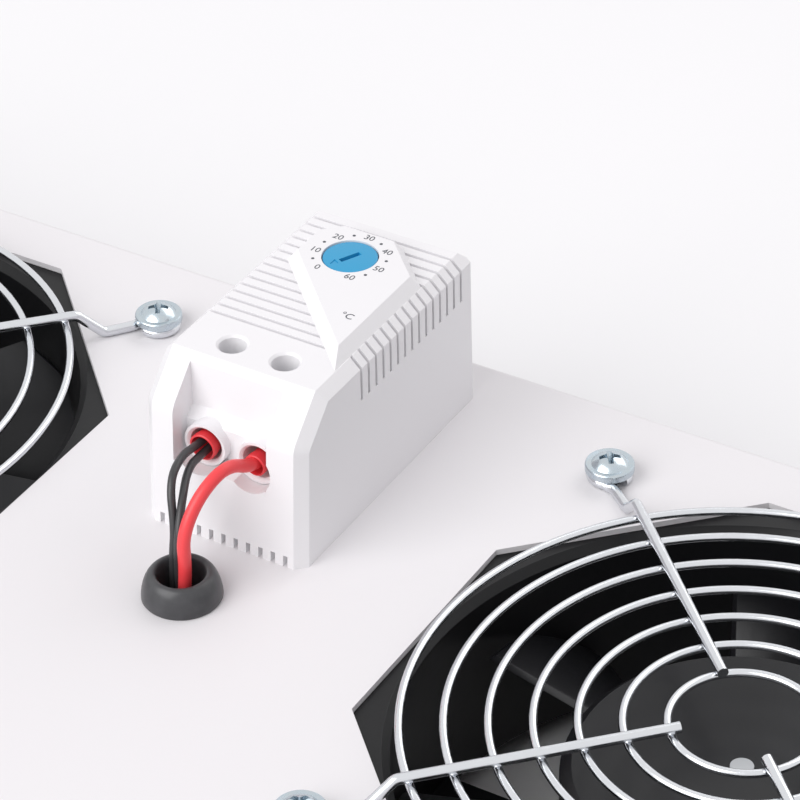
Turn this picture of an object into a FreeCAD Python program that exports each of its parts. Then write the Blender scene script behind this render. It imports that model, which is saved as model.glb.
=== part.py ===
import FreeCAD, Part
import math
import os

import Sketcher

# Two-fan 19-inch rack tray, one rack unit high, with a thermostat on its deck.
#
# Frame: +X to the right seen from the front, +Y to the rear, +Z up, in millimetres.
# The origin is the centre of the rack-hole pattern, in the rear face of the front panel.

SIZES = {
    # front panel and its rack holes
    "panel_width": 482.6,
    "panel_height": 43.6,
    "panel_thick": 2.0,
    "panel_corner": 1.5,
    "rack_hole_span": 465.1,
    "rack_hole_rise": 31.75,
    "rack_slot_length": 10.3,
    "rack_slot_width": 6.8,
    # folded tray
    "tray_width": 440.0,
    "tray_depth": 146.0,
    "sheet_thick": 1.2,
    "bend_radius": 2.0,
    "fan_pitch": 202.0,
    "opening_flats": 120.0,
    "opening_corner": 35.6,
    "fan_screw_square": 105.0,
    "fan_screw_hole": 2.25,
    # panel screws
    "panel_screw_outer": 205.0,
    "panel_screw_inner": 70.0,
    # fans
    "fan_square": 120.0,
    "fan_height": 38.0,
    "fan_flange": 4.5,
    "fan_corner": 6.0,
    "fan_bore": 57.8,
    "fan_wall": 2.0,
    "bell_mouth": 1.4,
    "hub_cup_radius": 30.0,
    "hub_cup_thick": 3.0,
    "strut_width": 6.0,
    "tube_outer": 6.5,
    "tube_inner": 4.5,
    "tube_height": 20.0,
    "stator_outer": 24.0,
    "stator_height": 16.0,
    # impeller
    "blade_count": 7,
    "hub_radius": 30.0,
    "hub_wall": 2.5,
    "hub_height": 30.0,
    "tip_radius": 56.8,
    "shaft_radius": 2.0,
    "shaft_clearance": 0.05,
    # finger guards
    "ring_outer": 56.3,
    "ring_pitch": 7.3,
    "ring_count": 7,
    "ring_wire": 1.5,
    "ring_height": 4.2,
    "spoke_wire": 2.0,
    "joggle_from": 58.4,
    "joggle_to": 63.6,
    "loop_radius": 3.3,
    # screws and nuts
    "screw_radius": 2.0,
    "screw_head": 4.5,
    "screw_head_height": 3.1,
    "screw_head_rim": 1.2,
    "nut_flats": 7.0,
    "nut_height": 3.2,
    "small_screw_radius": 1.5,
    "small_screw_head": 2.8,
    "small_screw_head_height": 2.0,
    "small_screw_head_rim": 0.8,
    "small_nut_flats": 5.5,
    "small_nut_height": 2.4,
    # thermostat
    "stat_x": -1.5,
    "stat_y": 105.0,
    "stat_width": 33.0,
    "stat_length": 59.6,
    "stat_height": 32.6,
    "stat_wall": 1.8,
    "stat_chamfer": 2.0,
    "slot_count": 15,
    "slot_pitch": 2.468,
    "slot_start": -8.9,
    "slot_width": 0.7,
    "slot_depth": 1.6,
    "slot_bottom": 24.0,
    "platform_rise": 2.3,
    "platform_slope": 1.8,
    "terminal_x": 5.4,
    "terminal_z": 17.3,
    "funnel_outer": 4.2,
    "funnel_bore": 3.2,
    "funnel_lip": 0.6,
    "funnel_face": -26.0,
    "funnel_wall": -24.2,
    "recess_wall": -22.0,
    "recess_left": -10.2,
    "recess_right": 9.0,
    "ledge": 14.2,
    "access_y": -15.8,
    "access_radius": 2.5,
    "dial_y": 14.8,
    "dial_radius": 5.0,
    "dial_gap": 0.2,
    "dial_thick": 1.5,
    "spindle_radius": 2.0,
    "spindle_clearance": 0.05,
    "notch_count": 11,
    "notch_pitch": 2.56,
    # grommet
    "grommet_y": 59.8,
    "grommet_radius": 7.15,
    "grommet_height": 5.3,
    "grommet_mouth": 4.3,
    "grommet_bore": 4.1,
    "grommet_groove": 5.2,
    "stat_screw_x": 10.0,
    "stat_screw_y": 20.0,
    # terminal strip
    "strip_y": 86.0,
    "strip_depth": 14.0,
    "strip_height": 13.0,
    "strip_pitch": 8.0,
    "strip_wire_drop": 7.0,
    "strip_bore": 1.8,
    "strip_wall": 0.8,
    "strip_screw": 1.5,
    "strip_screw_inset": 4.0,
    "strip_fixing": 1.25,
    "strip_fixing_head": 2.8,
    # mains inlet
    "inlet_cutout_wide": 27.2,
    "inlet_cutout_high": 20.0,
    "inlet_flange_wide": 50.0,
    "inlet_flange_high": 22.4,
    "inlet_flange": 3.0,
    "inlet_depth": 20.0,
    "inlet_wall": 2.3,
    "inlet_pin_pitch": 7.0,
    "inlet_screw_x": 20.0,
    "inlet_screw_hole": 1.75,
    # earth stud
    "earth_x": -34.0,
    "earth_z": 6.0,
    "earth_tag_thick": 1.0,
    "earth_barrel": 1.6,
    # ferrules
    "black_collar": 2.6,
    "red_collar": 2.1,
    "collar_wall": 0.5,
    "collar_proud": 0.9,
    "collar_length": 5.6,
    "ferrule_pin": 1.4,
    "ferrule_reach": 9.0,
    # wires
    "red_wire": 2.4,
    "black_wire": 1.5,
    "fan_lead": 3.0,
    "supply_wire": 2.0,
}

doc = FreeCAD.newDocument("fan_tray")
sheet = doc.addObject("Spreadsheet::Sheet", "Sizes")
for row, (alias, value) in enumerate(SIZES.items(), start=1):
    sheet.set(f"A{row}", alias)
    sheet.set(f"B{row}", str(value))
    sheet.setAlias(f"B{row}", alias)
doc.recompute()


class Measure:
    """A length with its value and the spreadsheet formula that gives it."""

    def __init__(self, value, formula):
        self.value = float(value)
        self.formula = formula

    def __add__(self, other):
        other = measure(other)
        return Measure(self.value + other.value, f"({self.formula} + {other.formula})")

    def __sub__(self, other):
        other = measure(other)
        return Measure(self.value - other.value, f"({self.formula} - {other.formula})")

    def __mul__(self, factor):
        return Measure(self.value * factor, f"({self.formula} * {factor})")

    def __truediv__(self, factor):
        return Measure(self.value / factor, f"({self.formula} / {factor})")

    def __neg__(self):
        return self * -1

    __radd__ = __add__

    def __rsub__(self, other):
        return measure(other) - self


def measure(length):
    """Any length as a Measure."""
    if isinstance(length, Measure):
        return length
    return Measure(length, f"({float(length)})")


def cell(alias):
    """The Measure of one spreadsheet cell."""
    return Measure(sheet.get(alias), f"Sizes.{alias}")


def bind(item, name, length):
    """Bind one property of an object to a formula."""
    item.setExpression(name, measure(length).formula)


def place(item, x=0, y=0, z=0):
    """Bind where an object stands."""
    for name, length in (("x", x), ("y", y), ("z", z)):
        bind(item, f"Placement.Base.{name}", length)


# ---------------------------------------------------------------- solids and booleans

parts = {}


def finish(node, item):
    """Name an object as the sub-part that it is."""
    item.Label = node
    parts[node] = item


def box(x, y, z):
    """A block between the given limits, each a pair of lengths."""
    item = doc.addObject("Part::Box", "block")
    for name, limits in (("Length", x), ("Width", y), ("Height", z)):
        bind(item, name, measure(limits[1]) - limits[0])
    place(item, x[0], y[0], z[0])
    return item


AXES = {
    "x": FreeCAD.Rotation(FreeCAD.Vector(0, 1, 0), 90),
    "y": FreeCAD.Rotation(FreeCAD.Vector(1, 0, 0), -90),
    "z": FreeCAD.Rotation(),
}


def rod(axis, start, radius, length):
    """A round bar from a start point along X, Y or Z."""
    item = doc.addObject("Part::Cylinder", "rod")
    bind(item, "Radius", radius)
    bind(item, "Height", length)
    item.Placement.Rotation = AXES[axis]
    place(item, *start)
    return item


def fuse(*items):
    """Several solids made one."""
    item = doc.addObject("Part::MultiFuse", "fused")
    item.Shapes = list(items)
    item.Refine = True
    return item


def cut(base, *tools):
    """A solid with others taken away from it."""
    item = doc.addObject("Part::Cut", "cut")
    item.Base = base
    item.Tool = tools[0] if len(tools) == 1 else fuse(*tools)
    item.Refine = True
    return item


def group(*items):
    """Separate solids kept together as one sub-part."""
    item = doc.addObject("Part::Compound", "group")
    item.Links = list(items)
    return item


# ---------------------------------------------------------------- sketches and features

def new_body(x=0, y=0, z=0):
    """An empty PartDesign body at a place."""
    item = doc.addObject("PartDesign::Body", "body")
    place(item, x, y, z)
    return item


def origin_part(body, role):
    """One of a body's own axes or planes."""
    return [part for part in body.Origin.OriginFeatures if part.Role == role][0]


def sketch_on(body, role, offset=0):
    """A sketch on one of a body's origin planes, moved along that plane's normal."""
    item = body.newObject("Sketcher::SketchObject", "sketch")
    item.AttachmentSupport = [(origin_part(body, role), "")]
    item.MapMode = "FlatFace"
    bind(item, "AttachmentOffset.Base.z", offset)
    return item


def hold(sketch, kind, *where):
    """Add one constraint whose last entry is its length."""
    length = measure(where[-1])
    index = sketch.addConstraint(Sketcher.Constraint(kind, *where[:-1], length.value))
    sketch.setExpression(f"Constraints[{index}]", length.formula)


def pin_point(sketch, edge, end, point):
    """Fix an edge's end or centre at a point of the sketch."""
    for kind, length in zip(("DistanceX", "DistanceY"), point):
        hold(sketch, kind, -1, 1, edge, end, length)


def arc_between(start, finish_point, radius):
    """The short arc between two points: a positive radius bulges to the right of the way."""
    way = finish_point - start
    middle = (start + finish_point) / 2
    side = FreeCAD.Vector(-way.y, way.x, 0).normalize()
    reach = math.sqrt(radius ** 2 - (way.Length / 2) ** 2)
    centre = middle + side * math.copysign(reach, radius)
    top = centre + (middle - centre).normalize() * abs(radius)
    return Part.Arc(start, top, finish_point)


def outline(sketch, points):
    """A closed outline. A third entry in a point is the radius of the arc that ends there."""
    spots = [FreeCAD.Vector(measure(p[0]).value, measure(p[1]).value, 0) for p in points]
    edges = []
    for index, point in enumerate(points):
        start, stop = spots[index - 1], spots[index]
        if len(point) == 3:
            edge = sketch.addGeometry(arc_between(start, stop, measure(point[2]).value))
            centre_left = measure(point[2]).value > 0
            hold(sketch, "Radius", edge, point[2] if centre_left else -measure(point[2]))
            edges.append((edge, 1, 2) if centre_left else (edge, 2, 1))
        else:
            edge = sketch.addGeometry(Part.LineSegment(start, stop))
            edges.append((edge, 1, 2))
    for index, point in enumerate(points):
        edge, first, last = edges[index]
        after, after_first, after_last = edges[(index + 1) % len(edges)]
        sketch.addConstraint(Sketcher.Constraint("Coincident", edge, last, after, after_first))
        pin_point(sketch, edge, last, point[:2])


def rectangle(sketch, x, y):
    """A rectangle between two limits each way."""
    outline(sketch, [(x[0], y[0]), (x[1], y[0]), (x[1], y[1]), (x[0], y[1])])


def circle(sketch, x, y, radius):
    """A circle with its centre pinned."""
    spot = FreeCAD.Vector(measure(x).value, measure(y).value, 0)
    edge = sketch.addGeometry(Part.Circle(spot, FreeCAD.Vector(0, 0, 1), measure(radius).value))
    hold(sketch, "Radius", edge, radius)
    pin_point(sketch, edge, 3, (x, y))


def feature(body, kind, sketch, **lengths):
    """A sketch-based feature with its lengths bound."""
    item = body.newObject(f"PartDesign::{kind}", kind.lower())
    item.Profile = sketch
    reverse = lengths.pop("reverse", False)
    for name, length in lengths.items():
        bind(item, name, length)
    if reverse:
        item.Reversed = True
    sketch.Visibility = False
    return item


def pocket(body, sketch, length, reverse=False, taper=0):
    """Cut a sketch into a body, and be sure that it removed something."""
    doc.recompute()
    before = body.Shape.Volume
    item = feature(body, "Pocket", sketch, Length=length, reverse=reverse)
    item.TaperAngle = taper
    doc.recompute()
    if body.Shape.Volume > before - 1e-3:
        raise ValueError(f"{body.Name}: a pocket removed nothing")
    return item


def edges_where(shape, test):
    """The names of the edges whose middle and direction pass a test."""
    names = []
    for index, edge in enumerate(shape.Edges, start=1):
        middle = edge.valueAt((edge.FirstParameter + edge.LastParameter) / 2)
        if test(edge, middle):
            names.append(f"Edge{index}")
    return names


def on_circle(edge, radius):
    """Whether an edge lies on a circle of this radius."""
    return isinstance(edge.Curve, Part.Circle) and abs(edge.Curve.Radius - radius.value) < 0.01


def dress(body, kind, name, length, test):
    """A fillet or chamfer on the edges that pass a test."""
    doc.recompute()
    base = body.Tip
    item = body.newObject(f"PartDesign::{kind}", kind.lower())
    names = edges_where(base.Shape, test)
    item.Base = (base, names)
    bind(item, name, length)
    doc.recompute()
    if not names or not item.isValid():
        raise ValueError(f"{body.Name}: {kind} on {len(names)} edges failed")
    return item


def turn(body, sketch, kind="Revolution"):
    """Turn a sketch full circle about the sketch's own vertical axis."""
    item = body.newObject(f"PartDesign::{kind}", kind.lower())
    item.Profile = sketch
    item.ReferenceAxis = (sketch, ["V_Axis"])
    item.Angle = 360
    doc.recompute()
    return item


def turned(node, points, x=0, y=0, z=0):
    """A turned piece: an outline of radius and height, revolved about Z."""
    body = new_body(x, y, z)
    sketch = sketch_on(body, "XZ_Plane")
    outline(sketch, points)
    turn(body, sketch)
    finish(node, body)
    return body


def lead(node, route, diameter):
    """A wire held by the tray: straight runs of its route joined by tangent arcs."""
    points = [FreeCAD.Vector(*p) for p in route]
    edges, radii, start = [], [], points[0]
    for before, corner, after in zip(points, points[1:], points[2:]):
        arrive = (corner - before).normalize()
        leave = (after - corner).normalize()
        half_turn = arrive.getAngle(leave) / 2
        reach = 0.45 * min((corner - before).Length, (after - corner).Length)
        radius = reach / math.tan(half_turn)
        radii.append(round(radius, 1))
        first, last = corner - arrive * reach, corner + leave * reach
        sagitta = radius * (1 / math.cos(half_turn) - 1)
        middle = corner + (leave - arrive).normalize() * sagitta
        edges.append(Part.LineSegment(start, first).toShape())
        edges.append(Part.Arc(first, middle, last).toShape())
        start = last
    edges.append(Part.LineSegment(start, points[-1]).toShape())
    path = Part.Wire(edges)
    ring = Part.Wire(Part.Circle(points[0], points[1] - points[0], diameter.value / 2).toShape())
    item = doc.addObject("Part::Feature", "lead")
    item.Shape = path.makePipeShell([ring], True, False)
    expected = math.pi * diameter.value ** 2 / 4 * path.Length
    print(node, "radii", radii, "length", round(path.Length, 1),
          "volume", round(item.Shape.Volume, 1), "of", round(expected, 1))
    finish(node, item)


# ---------------------------------------------------------------- where things are

SIDES = {"left": -1, "right": 1}
CORNERS = [(across, along) for across in (-1, 1) for along in (-1, 1)]

deck_top = cell("panel_height") / 2
deck_under = deck_top - cell("sheet_thick")
tray_foot = -cell("panel_height") / 2
fan_row = cell("tray_depth") / 2
fan_foot = deck_under - cell("fan_height")
half_square = cell("fan_screw_square") / 2
wire_level = deck_under - cell("strip_wire_drop")


# ---------------------------------------------------------------- folded tray

def make_tray_body():
    """One steel sheet with four flanges folded down, its corners welded and ground."""
    body = new_body()
    blank = sketch_on(body, "XY_Plane", tray_foot)
    half = cell("tray_width") / 2
    rectangle(blank, (-half, half), (measure(0), cell("tray_depth")))
    feature(body, "Pad", blank, Length=cell("panel_height"))
    dress(body, "Fillet", "Radius", cell("bend_radius"),
          lambda edge, mid: mid.z > deck_top.value - 0.1)
    shell = body.newObject("PartDesign::Thickness", "shell")
    base = [f for f in body.Group if f.TypeId == "PartDesign::Fillet"][-1]
    foot = min(range(len(base.Shape.Faces)), key=lambda i: base.Shape.Faces[i].CenterOfMass.z)
    shell.Base = (base, [f"Face{foot + 1}"])
    bind(shell, "Value", cell("sheet_thick"))
    shell.Reversed = True
    shell.Join = 0
    doc.recompute()

    above = deck_top + 1
    through = cell("sheet_thick") + 3
    openings = sketch_on(body, "XY_Plane", above)
    flat = cell("opening_flats") / 2
    step = flat - cell("opening_corner")
    octagon = [(flat, -step), (flat, step), (step, flat), (-step, flat),
               (-flat, step), (-flat, -step), (-step, -flat), (step, -flat)]
    for side in SIDES.values():
        middle = cell("fan_pitch") / 2 * side
        outline(openings, [(middle + x, fan_row + y) for x, y in octagon])
    pocket(body, openings, through)

    holes = sketch_on(body, "XY_Plane", above)
    for side in SIDES.values():
        for across, along in CORNERS:
            circle(holes, cell("fan_pitch") / 2 * side + half_square * across,
                   fan_row + half_square * along, cell("fan_screw_hole"))
    circle(holes, 0, cell("grommet_y"), cell("grommet_groove"))
    for across in (-1, 1):
        circle(holes, cell("stat_x") + cell("stat_screw_x") * across,
               cell("stat_y") + cell("stat_screw_y"), cell("small_screw_radius") + 0.1)
    pocket(body, holes, through)

    front = sketch_on(body, "XZ_Plane", 1)
    for side in SIDES.values():
        for across in (cell("panel_screw_outer"), cell("panel_screw_inner")):
            circle(front, across * side, 0, cell("small_screw_radius") + 0.1)
    pocket(body, front, through)

    rear = sketch_on(body, "XZ_Plane", -cell("tray_depth") - 1)
    wide, high = cell("inlet_cutout_wide") / 2, cell("inlet_cutout_high") / 2
    rectangle(rear, (-wide, wide), (-high, high))
    for side in SIDES.values():
        circle(rear, cell("inlet_screw_x") * side, 0, cell("inlet_screw_hole"))
    circle(rear, cell("earth_x"), cell("earth_z"), cell("screw_radius") + 0.05)
    pocket(body, rear, through, reverse=True)
    finish("tray_body", body)


def make_front_panel():
    """A flat panel whose ends reach past the tray as rack ears, with slotted holes."""
    body = new_body()
    plate = sketch_on(body, "XZ_Plane")
    wide, high = cell("panel_width") / 2, cell("panel_height") / 2
    rectangle(plate, (-wide, wide), (-high, high))
    feature(body, "Pad", plate, Length=cell("panel_thick"))
    dress(body, "Fillet", "Radius", cell("panel_corner"),
          lambda edge, mid: abs(mid.x) > wide.value - 0.1 and abs(mid.z) > high.value - 0.1)
    holes = sketch_on(body, "XZ_Plane", cell("panel_thick") + 1)
    for side in SIDES.values():
        for across in (cell("panel_screw_outer"), cell("panel_screw_inner")):
            circle(holes, across * side, 0, cell("small_screw_radius") + 0.1)
        for level in (-1, 1):
            slot(holes, cell("rack_hole_span") / 2 * side, cell("rack_hole_rise") / 2 * level)
    pocket(body, holes, cell("panel_thick") + 2)
    finish("front_panel", body)


def slot(sketch, x, y):
    """A round-ended slot that runs along the sketch's X."""
    radius = cell("rack_slot_width") / 2
    reach = cell("rack_slot_length") / 2 - radius
    left, right = x - reach, x + reach
    outline(sketch, [(right, y - radius), (right + radius, y, radius),
                     (right, y + radius, radius), (left, y + radius),
                     (left - radius, y, radius), (left, y - radius, radius)])


def pan_screw(length, size=""):
    """A pan-head screw that stands on its head's underside, its shank below it."""
    head, rim = cell(f"{size}screw_head"), cell(f"{size}screw_head_rim")
    top, shank = cell(f"{size}screw_head_height"), cell(f"{size}screw_radius")
    body = new_body()
    sketch = sketch_on(body, "XZ_Plane")
    outline(sketch, [(0, -measure(length)), (shank, -measure(length)), (shank, 0), (head, 0),
                     (head, rim), (head * 0.6, top), (0, top)])
    turn(body, sketch)
    return body


def hex_nut(size=""):
    """A hexagon nut, its bore the size of the screw, standing on Z = 0."""
    prism = doc.addObject("Part::Prism", "prism")
    prism.Polygon = 6
    height = cell(f"{size}nut_height")
    bind(prism, "Circumradius", cell(f"{size}nut_flats") / 2 / math.cos(math.pi / 6))
    bind(prism, "Height", height)
    return cut(prism, rod("z", (0, 0, -1), cell(f"{size}screw_radius"), height + 2))


def spread(item, rotation, spots):
    """Turned copies of one solid, each at its own spot."""
    doc.recompute()
    shapes = []
    for spot in spots:
        shape = item.Shape.copy()
        shape.Placement = FreeCAD.Placement(FreeCAD.Vector(*spot), rotation)
        shapes.append(shape)
    result = doc.addObject("Part::Feature", "copies")
    result.Shape = Part.makeCompound(shapes)
    return result


def make_fasteners():
    """Screws and nuts of the fans and of the front panel."""
    guard_top = deck_top.value + cell("spoke_wire").value
    corners = [(cell("fan_pitch").value / 2 * side + half_square.value * across,
                fan_row.value + half_square.value * along)
               for side in SIDES.values() for across, along in CORNERS]
    upright = FreeCAD.Rotation()
    finish("fan_screws", spread(pan_screw(14.0), upright, [(x, y, guard_top) for x, y in corners]))
    nut_level = deck_under.value - cell("fan_flange").value - cell("nut_height").value
    finish("fan_nuts", spread(hex_nut(), upright, [(x, y, nut_level) for x, y in corners]))
    facing_front = FreeCAD.Rotation(FreeCAD.Vector(1, 0, 0), 90)
    across = [cell("panel_screw_outer").value, cell("panel_screw_inner").value]
    across = [x * side for side in SIDES.values() for x in across]
    front = -cell("panel_thick").value
    screw = pan_screw(9.0, "small_")
    finish("panel_screws", spread(screw, facing_front, [(x, front, 0) for x in across]))
    inside = cell("sheet_thick").value + cell("small_nut_height").value
    finish("panel_nuts", spread(hex_nut("small_"), facing_front, [(x, inside, 0) for x in across]))


# ---------------------------------------------------------------- fans

def make_fan_frame(name, middle):
    """A square fan frame: two corner-drilled flanges, a round duct, struts and a hub cup."""
    body = new_body(middle, fan_row, fan_foot)
    half, corner = cell("fan_square") / 2, cell("fan_corner")
    near = half - corner
    height, flange = cell("fan_height"), cell("fan_flange")
    block = sketch_on(body, "XY_Plane")
    outline(block, [(near, -half), (half, -near, corner), (half, near), (near, half, corner),
                    (-near, half), (-half, near, corner), (-half, -near),
                    (-near, -half, corner)])
    feature(body, "Pad", block, Length=height)
    waist = sketch_on(body, "XY_Plane", height - flange)
    rectangle(waist, (-half - 2, half + 2), (-half - 2, half + 2))
    circle(waist, 0, 0, cell("fan_bore") + cell("fan_wall"))
    pocket(body, waist, height - flange * 2)
    bore = sketch_on(body, "XY_Plane", height + 1)
    circle(bore, 0, 0, cell("fan_bore"))
    pocket(body, bore, height + 2)
    dress(body, "Chamfer", "Size", cell("bell_mouth"),
          lambda edge, mid: on_circle(edge, cell("fan_bore")))
    holes = sketch_on(body, "XY_Plane", height + 1)
    for across, along in CORNERS:
        circle(holes, half_square * across, half_square * along, cell("fan_screw_hole"))
    pocket(body, holes, height + 2)
    cup = sketch_on(body, "XY_Plane")
    circle(cup, 0, 0, cell("hub_cup_radius"))
    feature(body, "Pad", cup, Length=cell("hub_cup_thick"))
    strut = sketch_on(body, "XY_Plane")
    wide = cell("strut_width") / 2
    rectangle(strut, (cell("hub_cup_radius") - 2, cell("fan_bore") + 1), (-wide, wide))
    arm = feature(body, "Pad", strut, Length=cell("hub_cup_thick") + 1)
    doc.recompute()
    arms = body.newObject("PartDesign::PolarPattern", "struts")
    arms.Originals = [arm]
    arms.Axis = (origin_part(body, "Z_Axis"), [""])
    arms.Angle = 360
    arms.Occurrences = 4
    body.Tip = arms
    doc.recompute()
    tube = sketch_on(body, "XY_Plane", cell("hub_cup_thick"))
    circle(tube, 0, 0, cell("tube_outer"))
    circle(tube, 0, 0, cell("tube_inner"))
    feature(body, "Pad", tube, Length=cell("tube_height"))
    finish(f"fan_frame_{name}", body)


def blade_section(body, radius, chord, pitch, camber):
    """A cambered blade section on a plane square to the blade's length."""
    sketch = sketch_on(body, "YZ_Plane", radius)
    lean = math.radians(pitch)
    along = (math.cos(lean), math.sin(lean))
    square = (-math.sin(lean), math.cos(lean))

    def at(run, rise):
        return (run * along[0] + rise * square[0], run * along[1] + rise * square[1] + 15.0)

    half, thick = chord / 2, 0.7
    outline(sketch, [at(half, thick), at(-half, thick) + (camber,),
                     at(-half, -thick), at(half, -thick) + (-camber,)])
    return sketch


def make_impeller(name, middle):
    """A hub cup with seven twisted blades, their tips rounded to clear the duct."""
    lift = cell("hub_cup_thick") + 1
    body = new_body(middle, fan_row, fan_foot + lift)
    hub, wall, height = cell("hub_radius"), cell("hub_wall"), cell("hub_height")
    shaft = cell("shaft_radius")
    section = sketch_on(body, "XZ_Plane")
    outline(section, [(shaft, height - 9), (5, height - 9), (5, height - wall),
                      (hub - wall, height - wall), (hub - wall, 0), (hub, 0),
                      (hub, height - 2), (hub - 2, height), (shaft, height)])
    turn(body, section)
    root = blade_section(body, 28.6, 25.0, 48.0, 30.0)
    tip = blade_section(body, 58.5, 34.0, 30.0, 50.0)
    blade = body.newObject("PartDesign::AdditiveLoft", "blade")
    blade.Profile = root
    blade.Sections = [tip]
    blade.Ruled = True
    doc.recompute()
    trim = sketch_on(body, "XZ_Plane")
    reach = cell("tip_radius")
    outline(trim, [(reach + 8, -5), (reach + 8, 35), (reach - 6, 35), (reach - 6, 27),
                   (reach, 21), (reach, 9), (reach - 6, 3), (reach - 6, -5)])
    ring = turn(body, trim, "Groove")
    blades = body.newObject("PartDesign::PolarPattern", "blades")
    blades.Originals = [blade, ring]
    blades.Axis = (origin_part(body, "Z_Axis"), [""])
    blades.Angle = 360
    blades.Occurrences = int(cell("blade_count").value)
    body.Tip = blades
    finish(f"impeller_{name}", body)


def make_motor(name, middle):
    """Shaft, bearings, stator and rotor cage of one fan."""
    seat = fan_foot + cell("hub_cup_thick")
    shaft = cell("shaft_radius")
    top = fan_foot + cell("hub_cup_thick") + 1 + cell("hub_height")
    pin = rod("z", (middle, fan_row, seat + 0.5), shaft, top - seat - 0.5)
    finish(f"fan_shaft_{name}", pin)
    rings = []
    for level in (seat + 1, seat + cell("tube_height") - 7):
        outer = rod("z", (middle, fan_row, level), cell("tube_inner"), 6.0)
        inner = rod("z", (middle, fan_row, level - 1), shaft + cell("shaft_clearance"), 8.0)
        rings.append(cut(outer, inner))
    finish(f"fan_bearings_{name}", group(*rings))
    core = rod("z", (middle, fan_row, seat + 3), cell("stator_outer"), cell("stator_height"))
    bore = rod("z", (middle, fan_row, seat + 2), cell("tube_outer"), cell("stator_height") + 2)
    slots = []
    for turn_by in range(0, 180, 45):
        gap = box((-30, 30), (-1.5, 1.5), (0, 30))
        gap.Placement.Rotation = FreeCAD.Rotation(FreeCAD.Vector(0, 0, 1), turn_by)
        rim = rod("z", (0, 0, -1), 14.0, 32.0)
        reach = FreeCAD.Vector(-30, -1.5, 0)
        spun = gap.Placement.Rotation.multVec(reach)
        place(gap, spun.x, spun.y, 0)
        opened = cut(gap, rim)
        place(opened, middle, fan_row, seat)
        slots.append(opened)
    finish(f"fan_stator_{name}", cut(core, bore, *slots))
    cage_outer = cell("hub_radius") - cell("hub_wall")
    cage = rod("z", (middle, fan_row, seat + 3), cage_outer, cell("stator_height"))
    hollow = rod("z", (middle, fan_row, seat + 2), cage_outer - 2.4, cell("stator_height") + 2)
    finish(f"rotor_cage_{name}", cut(cage, hollow))


def make_guard(name, middle):
    """A wire finger guard: round wires under four spokes whose ends loop round the screws."""
    pieces = []
    thick = cell("ring_wire")
    ring_foot = deck_top + cell("ring_height") - thick / 2
    for index in range(int(cell("ring_count").value)):
        radius = cell("ring_outer") - cell("ring_pitch") * index
        outer = rod("z", (middle, fan_row, ring_foot), radius + thick / 2, thick)
        inner = rod("z", (middle, fan_row, ring_foot - 1), radius - thick / 2, thick + 2)
        pieces.append(cut(outer, inner))
    wire = cell("spoke_wire")
    spoke_low = ring_foot + thick - 0.2
    screw_at = half_square.value * math.sqrt(2)
    loop = cell("loop_radius")
    inner_end = cell("ring_outer") - cell("ring_pitch") * (cell("ring_count").value - 1) - 1.5
    step_from, step_to = cell("joggle_from"), cell("joggle_to")
    for turn_by in (45, 135, 225, 315):
        lean = FreeCAD.Rotation(FreeCAD.Vector(0, 0, 1), turn_by)
        body = new_body(middle, fan_row, deck_top)
        body.Placement.Rotation = lean
        side = sketch_on(body, "XZ_Plane", -wire / 2)
        high, low = spoke_low - deck_top, measure(0.0)
        outline(side, [(inner_end, high), (step_from, high), (step_to, low),
                       (screw_at - loop.value, low), (screw_at - loop.value, low + wire),
                       (step_to + 0.8, low + wire), (step_from + 0.8, high + wire),
                       (inner_end, high + wire)])
        feature(body, "Pad", side, Length=wire)
        pieces.append(body)
        spot = lean.multVec(FreeCAD.Vector(screw_at, 0, 0))
        centre = (middle + spot.x, fan_row + spot.y, deck_top)
        eye = rod("z", centre, loop + wire / 2, wire)
        gap = rod("z", (centre[0], centre[1], deck_top - 1), loop - wire / 2, wire + 2)
        pieces.append(cut(eye, gap))
    finish(f"finger_guard_{name}", fuse(*pieces))


# ---------------------------------------------------------------- thermostat

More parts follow.
